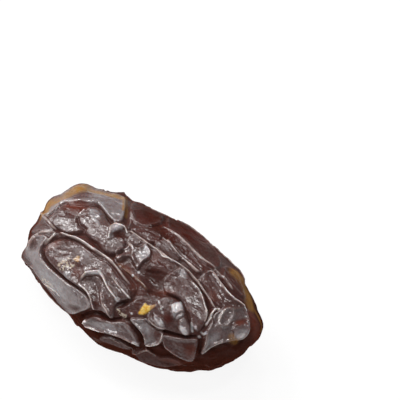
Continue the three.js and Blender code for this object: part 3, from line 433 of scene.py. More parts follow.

# Thin light lines, painted as highlights along crests: name, height and half width in mm, how light, and
# trace in the view.
THIN_LINES = [
    ("main fold", 0.1, 0.16, 1.0, [61, 231.5], [66, 234.5], [74, 236.5], [80, 239.5], [88, 244.5],
     [97, 250.5], [105, 255.5], [113, 262]),
    ("main fold end", 0.1, 0.16, 0.5, [113, 262], [118, 269], [122, 276], [127, 282]),
    ("arch", 0.15, 0.18, 1.0, [86, 273], [93, 272.5], [98.5, 271.5], [101, 274.5], [104, 279], [108, 287],
     [112, 293], [117, 299]),
    ("arch left", 0.12, 0.18, 0.9, [80, 284.5], [84, 287.5], [88, 291], [91, 297], [93, 304], [94, 309]),
    ("inner crease", 0.1, 0.16, 0.6, [102, 299], [104, 303], [107, 308], [109.5, 313], [110, 319.5]),
    ("parallel crease", 0.12, 0.2, 0.7, [112, 277], [117, 284], [123, 291], [128.5, 297.5]),
    ("parallel crease end", 0.1, 0.25, 0.9, [122, 289.5], [125.5, 293.5], [129, 297.5]),
    ("cell corner", 0.05, 0.15, 0.5, [111, 267.5], [112.5, 273]),
    ("lobe crest", 0.1, 0.15, 0.7, [76.5, 217], [79.5, 213.5], [84, 210]),
    ("west rim", 0.1, 0.22, 0.95, [25, 259], [30, 266.5], [37, 275], [45, 283.5], [52, 290.5], [58, 297]),
    ("collar left line", 0.1, 0.14, 0.5, [46, 216.5], [52, 210.5], [59, 203.5]),
    ("collar right line", 0.1, 0.14, 0.5, [97, 200], [102, 206], [108, 212.5], [112, 217.5]),
    ("hook line", 0.15, 0.16, 1.0, [108.5, 240], [110.5, 233.5], [113.5, 228.5], [119, 226.5],
     [124.5, 228.5], [127, 232.5]),
    ("star arc", 0.1, 0.14, 0.5, [118.5, 251.5], [116.3, 255], [117, 260.5]),
    ("star spine", 0.1, 0.15, 0.8, [128, 243], [131, 247], [133.5, 249]),
    ("star foot", 0.1, 0.15, 0.5, [130, 262], [133, 266], [136.5, 270.5]),
    ("valley thread", 0.1, 0.15, 0.45, [119, 265], [123, 269], [128, 272], [132.5, 276], [137, 281]),
    ("basin line", 0.1, 0.14, 0.6, [149.5, 277], [153, 281], [157.5, 283]),
    ("basin line west", 0.1, 0.14, 0.4, [143, 284], [145, 288], [147, 291.5]),
    ("long fold", 0.1, 0.16, 0.5, [131, 232.5], [137, 238], [143, 242], [150, 244.5], [156, 248],
     [160, 252]),
    ("long fold middle", 0.1, 0.17, 0.9, [160, 252], [163, 256], [168, 258], [174, 261.5], [181, 265.5]),
    ("long fold end", 0.1, 0.15, 0.4, [181, 265.5], [191, 274], [201, 287], [209.5, 299], [213, 308]),
    ("ear line", 0.1, 0.14, 0.5, [163, 237], [169, 241], [173, 247], [179, 255]),
    ("crescent edge", 0.12, 0.2, 0.9, [193, 283], [199, 289], [202, 297], [204.5, 305], [206.5, 311],
     [206.5, 316], [204.5, 321]),
    ("crescent west", 0.08, 0.13, 0.4, [181.5, 298.5], [184, 304], [188, 311]),
    ("white hook", 0.15, 0.22, 1.0, [219.5, 308.7], [215, 309.5], [212, 314], [209.5, 319.5], [206, 324.5]),
    ("east fold start", 0.1, 0.15, 0.5, [208, 271.5], [214.5, 277.5], [219.5, 285], [223, 289.5]),
    ("east fold", 0.15, 0.22, 1.0, [223, 289.5], [225.5, 293], [232, 299.5], [239, 304], [247, 310]),
    ("far line", 0.1, 0.15, 0.5, [191, 252], [195, 257], [199, 262], [203, 267]),
    ("band rim", 0.12, 0.2, 1.0, [87.5, 320.5], [84.5, 320.5], [84, 323.5], [90, 325], [95, 327.5],
     [101, 330]),
    ("band rim end", 0.1, 0.16, 0.5, [101, 330], [110, 332.5], [119, 334.5], [127, 338.5], [133, 342]),
    ("band knob", 0.15, 0.3, 1.0, [133.5, 341.5], [137.5, 345]),
    ("low strip", 0.1, 0.2, 0.6, [104, 336.5], [112, 338.5], [120, 342.5]),
    ("low wave", 0.12, 0.14, 0.6, [121, 341.5], [130, 347], [136, 352.5], [140, 351], [147, 350], [152, 353],
     [156, 356]),
    ("pane left", 0.1, 0.15, 0.5, [130, 320.5], [135, 324.5], [139, 330.5]),
    ("pane left foot", 0.12, 0.18, 1.0, [139, 330.5], [142, 334.5], [145, 338.5]),
    ("pane foot", 0.12, 0.17, 0.9, [144, 345], [151, 345.3], [157, 344.3], [161, 340], [162.3, 334]),
    ("pane big foot", 0.1, 0.16, 0.6, [163, 340.5], [165.5, 346], [170, 350], [177, 355]),
    ("pane big right", 0.08, 0.15, 0.35, [197, 341], [195, 350], [192, 361]),
    ("tiles foot", 0.12, 0.18, 0.9, [151.5, 323.5], [154, 325.5], [158, 327.5], [164, 329.3]),
    ("tile foot", 0.12, 0.16, 1.0, [174, 306], [173.8, 310], [176, 313.3], [179, 311], [182.3, 310.5]),
    ("tile ridge", 0.1, 0.15, 0.5, [179.5, 320], [181, 326], [182, 331]),
    ("oval left", 0.1, 0.15, 0.8, [224, 310], [222.3, 313.5], [219.5, 317], [218, 322]),
    ("oval right", 0.08, 0.14, 0.4, [230.5, 309], [233, 314], [231.5, 320]),
    ("south spur", 0.1, 0.15, 0.6, [207, 336], [205, 343.5], [201, 353.5]),
    ("end plate foot", 0.12, 0.2, 0.8, [205, 352], [210, 348], [216, 344.3], [222, 342]),
]

# Thin dark creases, painted darker as shade: name, depth and half width in mm, how dark, and trace in the
# view.
THIN_CREASES = [
    ("hook hollow", 0.1, 0.5, 1.0, [114.5, 233.5], [118, 232], [123, 233.5]),
    ("under the arch", 0.15, 0.2, 1.0, [83, 280.5], [86, 277], [92, 276], [99, 277], [103, 282]),
    ("facet mark", 0.1, 0.15, 1.0, [76, 293], [77.5, 297]),
    ("collar left", 0.15, 0.2, 1.0, [48, 217.5], [54, 211.5], [60.5, 204.5]),
    ("collar right", 0.15, 0.2, 1.0, [97, 202.5], [102, 209], [108, 215.5], [113, 219.5]),
    ("lobe split", 0.15, 0.2, 0.9, [79, 217], [82, 214], [87, 210.5]),
    ("star groove", 0.2, 0.25, 1.0, [131, 251], [132, 259], [135.5, 267.5]),
    ("long fold shade", 0.12, 0.15, 1.0, [133, 231], [140, 237.5], [147, 242], [155, 247], [160, 250.5]),
    ("tile north", 0.15, 0.2, 0.9, [169, 303.5], [174, 301], [179, 300]),
    ("tile crease", 0.15, 0.25, 0.9, [174.5, 319.5], [177.5, 315], [183.5, 312.5]),
    ("tile low crease", 0.15, 0.25, 0.9, [176.5, 326], [178.5, 330.5]),
    ("tile west crease", 0.15, 0.25, 0.9, [152.5, 313], [153.3, 319]),
    ("white hook shade", 0.15, 0.2, 1.0, [219, 310.8], [215.5, 312], [212.5, 317.5], [214.5, 324]),
    ("east fold shade", 0.15, 0.2, 1.0, [233, 300], [240, 304], [245, 312]),
    ("knob crease", 0.12, 0.18, 1.0, [231, 330.5], [233, 332.5], [232.5, 336]),
    ("pane shade", 0.12, 0.18, 0.9, [161.5, 342.5], [164, 347.5]),
    ("band foot", 0.15, 0.25, 1.0, [84, 326], [92, 329.5], [104, 333.5], [116, 336.8], [127, 341.5],
     [136, 346]),
    ("pane left shade", 0.15, 0.25, 1.0, [136.5, 329], [140.5, 335.5], [143, 343]),
    ("pane foot shade", 0.12, 0.2, 1.0, [146, 347], [153, 347.3], [160, 345.5], [163.5, 349]),
    ("cell south", 0.15, 0.22, 1.0, [146, 321], [151, 326.5], [158, 330.5], [168, 333.3], [182, 336.8],
     [196, 337]),
    ("tiles east", 0.15, 0.22, 0.9, [188, 311], [190, 318], [192, 330]),
    ("basin edge", 0.2, 0.3, 1.0, [148, 291], [157, 292.5], [166, 294.5], [174, 297], [181, 301.5]),
]

# Scraps of each kind: yellow and tan scraps and crumbs are dry scraps, the others are painted highlights,
# glints on small beads, gleams and bright facets. Each has a height in mm, and a closed outline in the view.
SCRAPS = {
    "yellow": [
        (0.18, [138.5, 313.8], [141, 309], [143.8, 305], [145.5, 303], [147.3, 305.5], [150.5, 305.7],
         [151, 308.5], [147.8, 312.3], [143.5, 314.6]),
    ],
    "tan": [
        (0.22, [150, 306], [152, 305.3], [155.5, 305], [152.8, 308.3], [150.8, 309.5]),
        (0.03, [73.5, 259], [76, 257.5], [77.5, 255.8], [79.8, 256.5], [79.3, 259], [78.5, 261.8],
         [75.5, 261]),
    ],
    "crumbs": [
        (0.05, [65, 260], [66, 257.8], [69, 257.8], [71.5, 259.5], [69.5, 262], [73, 264.5], [76, 263.5],
         [72.5, 267.5], [68.5, 269.5], [64, 271.5], [59.5, 269], [57.5, 264], [60.5, 262.5], [62, 260]),
        (0.04, [42, 278.5], [47, 280], [53, 286.5], [55.5, 291.5], [51, 290.5], [45, 284]),
        (0.05, [116.5, 308.5], [119.5, 310], [123, 313], [127, 315], [125.5, 318], [121, 316.5], [118, 313]),
    ],
    "bead_glint": [
        (0.03, [131.7, 248], [133, 247.3], [134, 248.7], [132.8, 249.8]),
        (0.03, [131.5, 275], [133, 274], [134, 275.8], [132.5, 276.8]),
        (0.03, [137.3, 272], [139.2, 271.3], [140, 273], [138.5, 273.7]),
        (0.05, [159.5, 320], [161.5, 320.8], [163, 323.3], [161.5, 323.3]),
        (0.08, [158, 300.5], [159.6, 301], [160.2, 304], [158.8, 303.8]),
        (0.08, [160.3, 307.8], [161.9, 308.2], [161.7, 310.3], [160.5, 309.8]),
        (0.08, [161.6, 311.5], [163.4, 311.6], [163, 313.6], [161.9, 313.2]),
        (0.08, [190.8, 323], [192.2, 322.7], [193, 331.5], [191.5, 331.8]),
        (0.08, [194.3, 326], [196, 326.5], [196.8, 329], [195, 328.8]),
        (0.08, [197.8, 336], [200, 335.6], [200.7, 337.6], [198.8, 338]),
        (0.08, [201, 332], [203.5, 333.2], [206.5, 331.5], [206, 334], [203.3, 335.3]),
        (0.06, [130.7, 312.8], [132.3, 312.6], [132.5, 314.4], [131, 314.4]),
    ],
    "gleam": [
        (0.05, [111, 232], [111.3, 228], [112.5, 224.5], [118, 224], [123, 226.5], [119, 227.5],
         [115, 228.8], [112.8, 231.5]),
        (0.05, [114.5, 296.8], [120, 298.5], [118, 301.8], [115.8, 300.5]),
        (0.05, [172.8, 305.5], [180.5, 302], [181.8, 309.5], [177.5, 310.5], [175.5, 312.5], [173, 310]),
        (0.05, [179, 327], [181.5, 326], [187.3, 331.5], [186.5, 334], [183, 334]),
        (0.03, [155, 318.5], [158.5, 320], [163, 326], [159, 325]),
        (0.03, [236.5, 336.5], [240.5, 333.3], [245, 333.8], [242.5, 337.5], [238.5, 338.7]),
        (0.05, [133.5, 341.5], [137, 343], [139, 346], [136, 345.5]),
        (0.05, [87, 270.5], [94, 271.3], [99, 269.8], [102, 273], [103, 276.5], [100, 274.5], [94, 273.7],
         [88, 273.7]),
    ],
    "facet": [
        (0.05, [64, 272], [69, 270.5], [71, 274], [69.5, 278.5], [66, 278]),
        (0.03, [90, 209.3], [96, 210], [99.5, 213.5], [98, 217], [93, 215.5]),
        (0.03, [91.5, 217.5], [95, 218], [98.5, 221], [100.5, 226.5], [96, 223]),
        (0.05, [144.5, 245], [149.3, 250], [150, 256], [145, 259], [140, 261.5], [139.5, 258], [144, 252]),
        (0.03, [155.5, 245.5], [159, 241.8], [161, 244], [158.5, 247.5]),
        (0.05, [180.5, 272], [184.5, 270.3], [185.3, 274.5], [187.5, 278.5], [183.5, 278]),
    ],
}

# Colours of the skin, linear.
SKIN = (0.042, 0.013, 0.009)
RED_SKIN = (0.062, 0.011, 0.007)
FLANK = (0.048, 0.012, 0.007)
# Grey bloom, partly the skin's own and partly a painted sheen.
GREY_BLOOM_AND_SHEEN = (0.125, 0.078, 0.074)
# Pale wax with a painted highlight, where bloom is thickest.
WAX_AND_HIGHLIGHT = (0.30, 0.275, 0.285)
RED_FLESH = (0.15, 0.042, 0.028)
# Painted shade in valleys and creases, darker low on the fruit and lighter high on it.
VALLEY_SHADE = (0.022, 0.004, 0.002)
TOP_VALLEY_SHADE = (0.062, 0.026, 0.021)
# Painted highlight along crests and rims.
EDGE_HIGHLIGHT = (0.50, 0.40, 0.37)
# Painted white highlight of thin lines.
WHITE_HIGHLIGHT = (0.85, 0.78, 0.77)
CLEAR_AMBER = (0.28, 0.135, 0.032)
YELLOW = (0.58, 0.32, 0.035)
PALE_YELLOW = (0.72, 0.50, 0.14)
TAN = (0.38, 0.22, 0.10)
CRUMBS = (0.52, 0.43, 0.34)
# Painted highlight of gleams and of glints on small beads.
GLEAM = (0.58, 0.55, 0.56)

# Noise patterns of the skin: size in mm, detail, roughness and factor on X of the noise, the two values that
# it is held between, and what these two become.
PATTERNS = {
    "redder": ((5.0, 3.0, 0.5, 1), (0.35, 0.65), (0.0, 1.0)),
    "cloud": ((1.8, 4.0, 0.6, 1), (0.3, 0.7), (0.55, 1.0)),
    "grain": ((0.4, 3.0, 0.7, 1), (0.35, 0.65), (0.45, 1.3)),
    "gloss": ((0.4, 3.0, 0.7, 1), (0.35, 0.65), (0.5, 1.5)),
    "patchy": ((1.2, 5.0, 0.75, 1), (0.35, 0.65), (0.2, 1.0)),
    "broken_edge_highlight": ((2.5, 3.0, 0.6, 1), (0.35, 0.65), (0.25, 0.95)),
    "broken": ((1.2, 2.0, 0.5, 1), (0.4, 0.55), (0.45, 1.0)),
    "clear": ((3.0, 4.0, 0.6, 0.5), (0.35, 0.6), (0.45, 1.0)),
    "flecked": ((0.7, 2.0, 0.6, 1), (0.42, 0.6), (0.0, 1.0)),
    "gleam": ((0.9, 3.0, 0.6, 1), (0.4, 0.55), (0.5, 1.0)),
    "crumbs": ((0.5, 2.0, 0.6, 1), (0.47, 0.55), (0.0, 0.9)),
}

# The values of a mask from which it starts to show, and from which it shows in full. Wax with a painted
# highlight shows where bloom and its painted sheen are thick.
VALLEY_SHOWS = (0.45, 0.95)
LINE_SHOWS = (0.35, 0.8)
LIGHT_SHOWS = (0.65, 0.9)
WAX_AND_HIGHLIGHT_SHOWS = (1.0, 2.0)
EDGE_ON_SHOWS = (0.45, 0.95)

# The gloss of the skin: what bloom with its painted sheen, lines and bare skin add to it, and what is left of
# it in other places.
GLOSS = {"bloom_and_sheen": 0.55, "lines": 0.8, "bare": 0.1, "valley": 0.1, "low": 0.05, "dull": 0.5, "edge on": 0.1}

# Bumps of the skin: noise as in the patterns, and height in mm.
GRAIN_BUMP = ((0.45, 2.0, 0.6, 1), 0.045)
SKIN_BUMP = ((2.0, 3.0, 0.55, 0.6), 0.25)

# Soft square lights that face the fruit: name, place and side in metres, and power in watts. The room's own
# light comes evenly from all sides.
LIGHTS = [
    ("window", (-0.52, 0.02, 0.42), 0.5, 3.2),
    ("overhead", (-0.1, 0.02, 0.7), 0.4, 0.7),
    ("left lamp", (-0.38, 0.06, 0.5), 0.1, 0.5),
    ("back lamp", (-0.2, 0.32, 0.54), 0.14, 0.7),
    ("front lamp", (-0.30, -0.42, 0.36), 0.1, 0.5),
    ("right lamp", (0.16, 0.1, 0.6), 0.1, 0.6),
]
ROOM_LIGHT = 0.22

# The floor's half side in metres, its grey and its own light. The camera's sensor in mm and range in metres.
FLOOR_SIZE = 1.0
FLOOR_GREY = 0.12
FLOOR_LIGHT = 0.9
SENSOR_WIDTH = 36
CAMERA_RANGE = (0.01, 10)


def direction(heading, pitch):
    h = math.radians(heading)
    p = math.radians(pitch)
    return np.array([math.cos(p) * math.cos(h), math.cos(p) * math.sin(h), math.sin(p)])


def smooth(t):
    u = np.clip(t, 0, 1)
    return u * u * (3 - 2 * u)


def ramp(value, start, end):
    """0 up to start and 1 from end on, with a smooth change between them."""
    return smooth((value - start) / (end - start))


def keep_most(field, rows, values):
    field[rows] = np.maximum(field[rows], values)


RIGHT = direction(VIEW_HEADING, 0)
BACK = direction(VIEW_HEADING - 90, VIEW_HEIGHT)
UP = np.cross(BACK, RIGHT)
MIDDLE = IMAGE_SIZE / 2
FOCAL = VIEW_DISTANCE * PIXELS_PER_MM
EYE = (BACK * VIEW_DISTANCE + RIGHT * (MIDDLE - FRUIT_IN_IMAGE[0]) / PIXELS_PER_MM
       + UP * (FRUIT_IN_IMAGE[1] - MIDDLE) / PIXELS_PER_MM)
FACET_PLANES = [(direction(heading, pitch), distance) for heading, pitch, distance in FACETS]


def side_of(value, pair):
    return np.where(value < 0, pair[0], pair[1])


def gauge(p):
    """1 on the plain body, less inside it and more outside it."""
    x, y, z = p[..., 0], p[..., 1], p[..., 2]
    width = np.abs(y / side_of(y, HALF_WIDTH)) ** SECTION_ROUNDNESS
    height = np.abs(z / side_of(z, HALF_HEIGHT)) ** SECTION_ROUNDNESS
    section = (width + height) ** (1 / SECTION_ROUNDNESS)
    power = side_of(x, END_ROUNDNESS)
    along = np.abs(x / side_of(x, HALF_LENGTH)) ** power
    total = (along + section ** power) ** (FACET_SHARPNESS / power)
    for normal, distance in FACET_PLANES:
        total = total + np.maximum(0, p @ normal / distance) ** FACET_SHARPNESS
    return total ** (1 / FACET_SHARPNESS)


def on_body(p):
    return p / gauge(p)[..., None]


def outward(p):
    steps = SURFACE_STEP * np.eye(3)
    slope = np.stack([gauge(p + step) - gauge(p - step) for step in steps], -1)
    return slope / np.linalg.norm(slope, axis=-1, keepdims=True)


def where_it_leaves(start, ray, inside, outside):
    """The point where a ray leaves the plain body, between two distances from its start."""
    for _ in range(HALVINGS):
        half = (inside + outside) / 2
        if gauge(start + ray * half) > 1:
            outside = half
        else:
            inside = half
    return start + ray * inside


def seen(place):
    """The point of the plain body seen at a place in the view, or its edge where the place lies outside."""
    ray = RIGHT * (place[0] - MIDDLE) / FOCAL + UP * (MIDDLE - place[1]) / FOCAL - BACK
    ray = ray / np.linalg.norm(ray)
    reach, step = SIGHT_SEARCH
    distances = np.arange(-reach, reach, step) - EYE @ ray
    deepest = distances[gauge(EYE + ray * distances[:, None]).argmin()]
    if gauge(EYE + ray * deepest) >= 1:
        return on_body(EYE + ray * deepest)
    return where_it_leaves(EYE, ray, deepest, deepest - SURELY_OUTSIDE)


def in_view(p):
    """The place in the view where a point of the fruit is seen."""
    away = p - EYE
    scale = FOCAL / -(away @ BACK)
    return np.stack([MIDDLE + scale * (away @ RIGHT), MIDDLE - scale * (away @ UP)], -1)


def traced(place):
    """The point of the plain body over which raised skin is seen at a place in the view."""
    under = seen(place)
    raised = in_view(under + USUAL_RISE * outward(under))
    return seen(2 * np.array(place) - raised)


def around(x, angle):
    """The point of the plain body at a place along X and an angle about X, where 90 degrees is the top."""
    a = math.radians(angle)
    return where_it_leaves(np.array([x, 0, 0]), np.array([0, math.cos(a), math.sin(a)]), 0, AXIS_REACH)


def curve_through(points, step, closed):
    """Points of a smooth curve through the given ones, in short steps."""
    pts = np.asarray(points, float)
    if closed:
        with_ends = np.vstack([pts[-1:], pts, pts[:2]])
    else:
        with_ends = np.vstack([2 * pts[0] - pts[1], pts, 2 * pts[-1] - pts[-2]])
    out = []
    for a, b, c, d in zip(with_ends, with_ends[1:], with_ends[2:], with_ends[3:]):
        count = max(2, math.ceil(np.linalg.norm(c - b) / step))
        t = (np.arange(count) / count)[:, None]
        out.append(0.5 * (2 * b + (c - a) * t + (2 * a - 5 * b + 4 * c - d) * t ** 2
                          + (3 * b - a - 3 * c + d) * t ** 3))
    if not closed:
        out.append(pts[-1:])
    return np.vstack(out)


def path_through(points):
    return on_body(curve_through(points, TRACE_STEP, False))


def traced_path(trace):
    return path_through([traced(place) for place in trace])


def near_box(points, path, reach):
    low = path.min(0) - reach
    high = path.max(0) + reach
    return np.flatnonzero(((points > low) & (points < high)).all(1))


def chunks(rows):
    for first in range(0, len(rows), CHUNK):
        yield rows[first:first + CHUNK]


def place_on_path(p, normals, path):
    """For each point: distance from the path, whether it lies on the left of it, and how far along."""
    start = path[:-1]
    span = path[1:] - start
    length = np.linalg.norm(span, axis=1)
    run = np.concatenate([[0], np.cumsum(length)])
    away = p[:, None] - start[None]
    t = np.clip((away * span).sum(-1) / length ** 2, 0, 1)
    away = away - t[..., None] * span
    square = (away ** 2).sum(-1)
    k = square.argmin(1)
    i = np.arange(len(p))
    left = (np.cross(span[k], away[i, k]) * normals).sum(-1) > 0
    return np.sqrt(square[i, k]), left, run[k] + t[i, k] * length[k]


def near_path(p, normals, path, reach):
    """Rows of the points near a path, with their distance from it, whether on the left, and how far along."""
    for rows in chunks(near_box(p, path, reach)):
        yield rows, *place_on_path(p[rows], normals[rows], path)


def blended_height(p, normals, folds):
    """The height that all folds give, highest on their paths and fading over their flanks and ends, and a
    mask of how near the paths are."""
    total = np.zeros(len(p))
    near = np.zeros(len(p))
    for height, left, right, path in folds:
        length = np.linalg.norm(np.diff(path, axis=0), axis=1).sum()
        fade = min(FOLD_END["length"], length / FOLD_END["parts"])
        reach = max(FOLD_REACH["least"], FOLD_REACH["flanks"] * max(left, right))
        for rows, distance, on_left, run in near_path(p, normals, path, reach):
            ends = smooth(run / fade + FOLD_END["rise"]) * smooth((length - run) / fade + FOLD_END["rise"])
            rounded = np.hypot(distance, CREST_ROUNDING) - CREST_ROUNDING
            flank = np.exp(-rounded / np.where(on_left, left, right))
            total[rows] += (height * ends * flank) ** FOLD_BLEND
            keep_most(near, rows, ends * flank * min(1, height / FULL_FOLD))
    return total ** (1 / FOLD_BLEND), near


def inside_outline(places, outline):
    """The distance in mm from places in the view to a closed outline, positive inside it."""
    start = outline
    end = np.roll(outline, -1, 0)
    span = end - start
    away = places[:, None] - start[None]
    t = np.clip((away * span).sum(-1) / (span * span).sum(-1), 0, 1)
    nearest = np.sqrt(((away - t[..., None] * span) ** 2).sum(-1).min(1))
    x, y = places[:, None, 0], places[:, None, 1]
    crosses = (start[None, :, 1] > y) != (end[None, :, 1] > y)
    rise = np.where(span[:, 1] == 0, 1, span[:, 1])
    crossing = start[None, :, 0] + (y - start[None, :, 1]) * span[None, :, 0] / rise
    inside = (crosses & (x < crossing)).sum(1) % 2 == 1
    return np.where(inside, nearest, -nearest) / PIXELS_PER_MM


def near_outline(places, facing, corners, margin):
    """Rows of the points in or near a closed outline in the view, with their distance inside it."""
    outline = curve_through(corners, OUTLINE_STEP, True)
    near = near_box(places, outline, margin)
    for rows in chunks(near[facing[near] > 0]):
        yield rows, inside_outline(places[rows], outline)


def rim_and_middle(distance):
    """How much of its rim and of its bulge a plate has at a distance inside its edge."""
    rim = np.exp(-((distance - RIM_INSET) / RIM_WIDTH) ** 2)
    return rim, 1 - np.exp(-np.maximum(0, distance) / BULGE_WIDTH)


def plate_fields(places, facing):
    """The height of all plates together, how much bloom and painted sheen they carry, and a mask of their
    rims for a painted highlight.
    """
    total = np.zeros(len(facing))
    bloom_and_sheen = np.zeros(len(facing))
    rims = np.zeros(len(facing))
    for _, height, rim, bulge, bloom_and_sheen_share, *corners in PLATES:
        for rows, distance in near_outline(places, facing, corners, PLATE_MARGIN):
            distance = distance + PLATE_GROWTH
            step = smooth(distance / PLATE_EDGE + 0.5)
            edge, middle = rim_and_middle(distance)
            total[rows] += facing[rows] * (height * step + rim * edge + bulge * middle)
            keep_most(bloom_and_sheen, rows, step * facing[rows] * bloom_and_sheen_share)
            keep_most(rims, rows, facing[rows] * min(1, rim / FULL_RIM) * edge)
    return total, bloom_and_sheen, rims


def soft_patch(p, middle, half, turn):
    """1 in the middle of a soft oval of the view laid on the fruit, and 0 outside it."""
    at = traced(middle)
    away = p - at
    a = math.radians(turn)
    x = away @ RIGHT * PIXELS_PER_MM
    y = -(away @ UP) * PIXELS_PER_MM
    long = (x * math.cos(a) + y * math.sin(a)) / half[0]
    wide = (y * math.cos(a) - x * math.sin(a)) / half[1]
    deep = away @ outward(at) / LUMP_DEPTH
    return np.maximum(0, 1 - long ** 2 - wide ** 2 - deep ** 2) ** 2


def patches(p, rows):
    return sum(amount * soft_patch(p, middle, half, turn) for _, amount, middle, half, turn in rows)


def swell_height(p):
    return sum(height * np.sin(p @ np.array([x, y, z]) + phase) for x, y, z, phase, height in SWELLS)


def scar_height(p, scar):
    heading, pitch, radius, ring, hollow = scar
    distance = np.linalg.norm(p - on_body(direction(heading, pitch)), axis=1)
    raised = ring * np.exp(-((distance - radius) / RING_WIDTH) ** 2)
    return raised - hollow * smooth(1 - distance / radius)


def drawing(seed):
    """A repeatable draw between two values, by a linear congruential generator."""
    factor, shift, span = 1664525, 1013904223, 2 ** 32
    state = seed

    def draw(low, high):
        nonlocal state
        state = (state * factor + shift) % span
        return low + (high - low) * state / span
    return draw


def drawn_fold(draw, ranges, points):
    """The height, the two flanks and the path of a fold of the rear."""
    return draw(*ranges["height"]), draw(*ranges["flank"]), draw(*ranges["flank"]), path_through(points)


def wandering_fold(draw, angle):
    """A lengthwise fold that wanders along the rear of the fruit."""
    points = []
    x = draw(*REAR_FOLD["start"])
    end = min(x + draw(*REAR_FOLD["length"]), REAR_FOLD["last"])
    a = angle + draw(*REAR_FOLD["shift"])
    while x < end:
        points.append(around(x, a))
        x += draw(*REAR_FOLD["step"])
        a += draw(*REAR_FOLD["wander"])
    return drawn_fold(draw, REAR_FOLD, points)


def link_fold(draw):
    """A short fold that ties two lengthwise ones together."""
    x = draw(*REAR_LINK["start"])
    a = draw(*REAR_LINK["angle"])
    middle = around(x + draw(*REAR_LINK["middle"]), a + REAR_LINK["half turn"])
    end = around(x + draw(*REAR_LINK["end"]), a + 2 * REAR_LINK["half turn"])
    return drawn_fold(draw, REAR_LINK, [around(x, a), middle, end])


def rear_folds():
    draw = drawing(REAR_SEED)
    long_folds = [wandering_fold(draw, angle) for angle in range(*REAR_ANGLES)]
    links = [link_fold(draw) for _ in range(REAR_LINKS)]
    return long_folds[::2] + links[1::2], long_folds[1::2] + links[::2]


def rear_middles():
    """A rear plate's middle, height and bulge, for each place of the grid."""
    draw = drawing(REAR_SEED + 1)
    rows = []
    for turn in range(*REAR_TURNS):
        for x in range(*REAR_PLACES):
            along = x + draw(-REAR_SHIFT[0], REAR_SHIFT[0])
            about = turn + draw(-REAR_SHIFT[1], REAR_SHIFT[1])
            rows.append((around(along, about), draw(*REAR_PLATE["height"]), draw(*REAR_PLATE["bulge"])))
    return rows


def warped(p):
    """Points shifted by slow waves, so that straight borders between plates turn wavy."""
    waves = [size * np.sin(p @ np.array([x, y, z])) for x, y, z, size in REAR_WARP]
    return (p + np.stack(waves, -1)) / REAR_STRETCH


def rear_plate_fields(p, share):
    """The height of the plates of the rear, how much bloom and painted sheen they carry, and a mask of their
    rims for a painted highlight.
    """
    middles, height, bulge = (np.array(column) for column in zip(*rear_middles()))
    draw = drawing(REAR_SEED + 2)
    bloom_and_sheen = np.array([draw(*REAR_PLATE["bloom_and_sheen"]) for _ in height])
    middles = warped(middles)
    square = ((warped(p)[:, None] - middles[None]) ** 2).sum(-1)
    nearest, second = square.argsort(1)[:, :2].T
    i = np.arange(len(p))
    apart = np.linalg.norm(middles[nearest] - middles[second], axis=1)
    border = (square[i, second] - square[i, nearest]) / (2 * apart)
    step = smooth(border / PLATE_EDGE)
    edge, middle = rim_and_middle(border)
    total = height[nearest] * step + REAR_PLATE["rim"] * edge + bulge[nearest] * middle
    return share * total, share * bloom_and_sheen[nearest] * step, REAR_PLATE["rim light"] * share * edge


def traced_folds(rows):
    return [(height, left, right, traced_path(trace)) for _, height, left, right, *trace in rows]


def wrinkle_height(p, rows):
    """Small uneven wrinkles with sharp crests, longer along the fruit than across it."""
    total = np.zeros(len(p))
    for number, (along, across, height) in enumerate(rows):
        scaled = p / np.array([along, across, across]) + WRINKLE_OFFSET * number
        waves = np.array([noise.noise(Vector(q)) for q in scaled])
        total += height * (0.5 - 2 * np.hypot(waves, WRINKLE_ROUNDING))
    return total


def off_the_rest_patch(p):
    """0 on the patch that carries the weight, and 1 away from it."""
    away = np.hypot(p[:, 0] / REST_PATCH[0], p[:, 1] / REST_PATCH[1]) - 1
    return np.where(p[:, 2] > 0, 1, smooth(away / REST_BLEND))


def amber_field(p, normals):
    """1 on the traces of clear amber skin, fading over their half widths and behind the edge of the view."""
    total = np.zeros(len(p))
    for _, strength, width, *trace in AMBER:
        for rows, distance, _, _ in near_path(p, normals, traced_path(trace), LINE_REACH * width):
            keep_most(total, rows, strength * np.exp(-(distance / width) ** 4))
    return total * ramp(normals @ BACK, *AMBER_END)


def scrap_fields(places, facing):
    """The height of the dry scraps, and the cover of each kind."""
    total = np.zeros(len(facing))
    covers = {kind: np.zeros(len(facing)) for kind in SCRAPS}
    for kind, pieces in SCRAPS.items():
        for height, *corners in pieces:
            for rows, distance in near_outline(places, facing, corners, SCRAP_MARGIN):
                step = smooth(distance / SCRAP_EDGE + 0.5)
                keep_most(total, rows, height * step)
                keep_most(covers[kind], rows, step)
    return total, covers


def thin_fields(p, normals, facing, lines):
    """The height of thin lines, and how strong their painted highlight or painted shade is."""
    total = np.zeros(len(p))
    tone = np.zeros(len(p))
    for _, height, width, strength, *trace in lines:
        for rows, distance, _, _ in near_path(p, normals, traced_path(trace), LINE_REACH * width):
            share = np.minimum(1, LINE_GAIN * facing[rows]) * np.exp(-(distance / width) ** 2)
            keep_most(total, rows, height * share)
            keep_most(tone, rows, strength * share)
    return total, tone


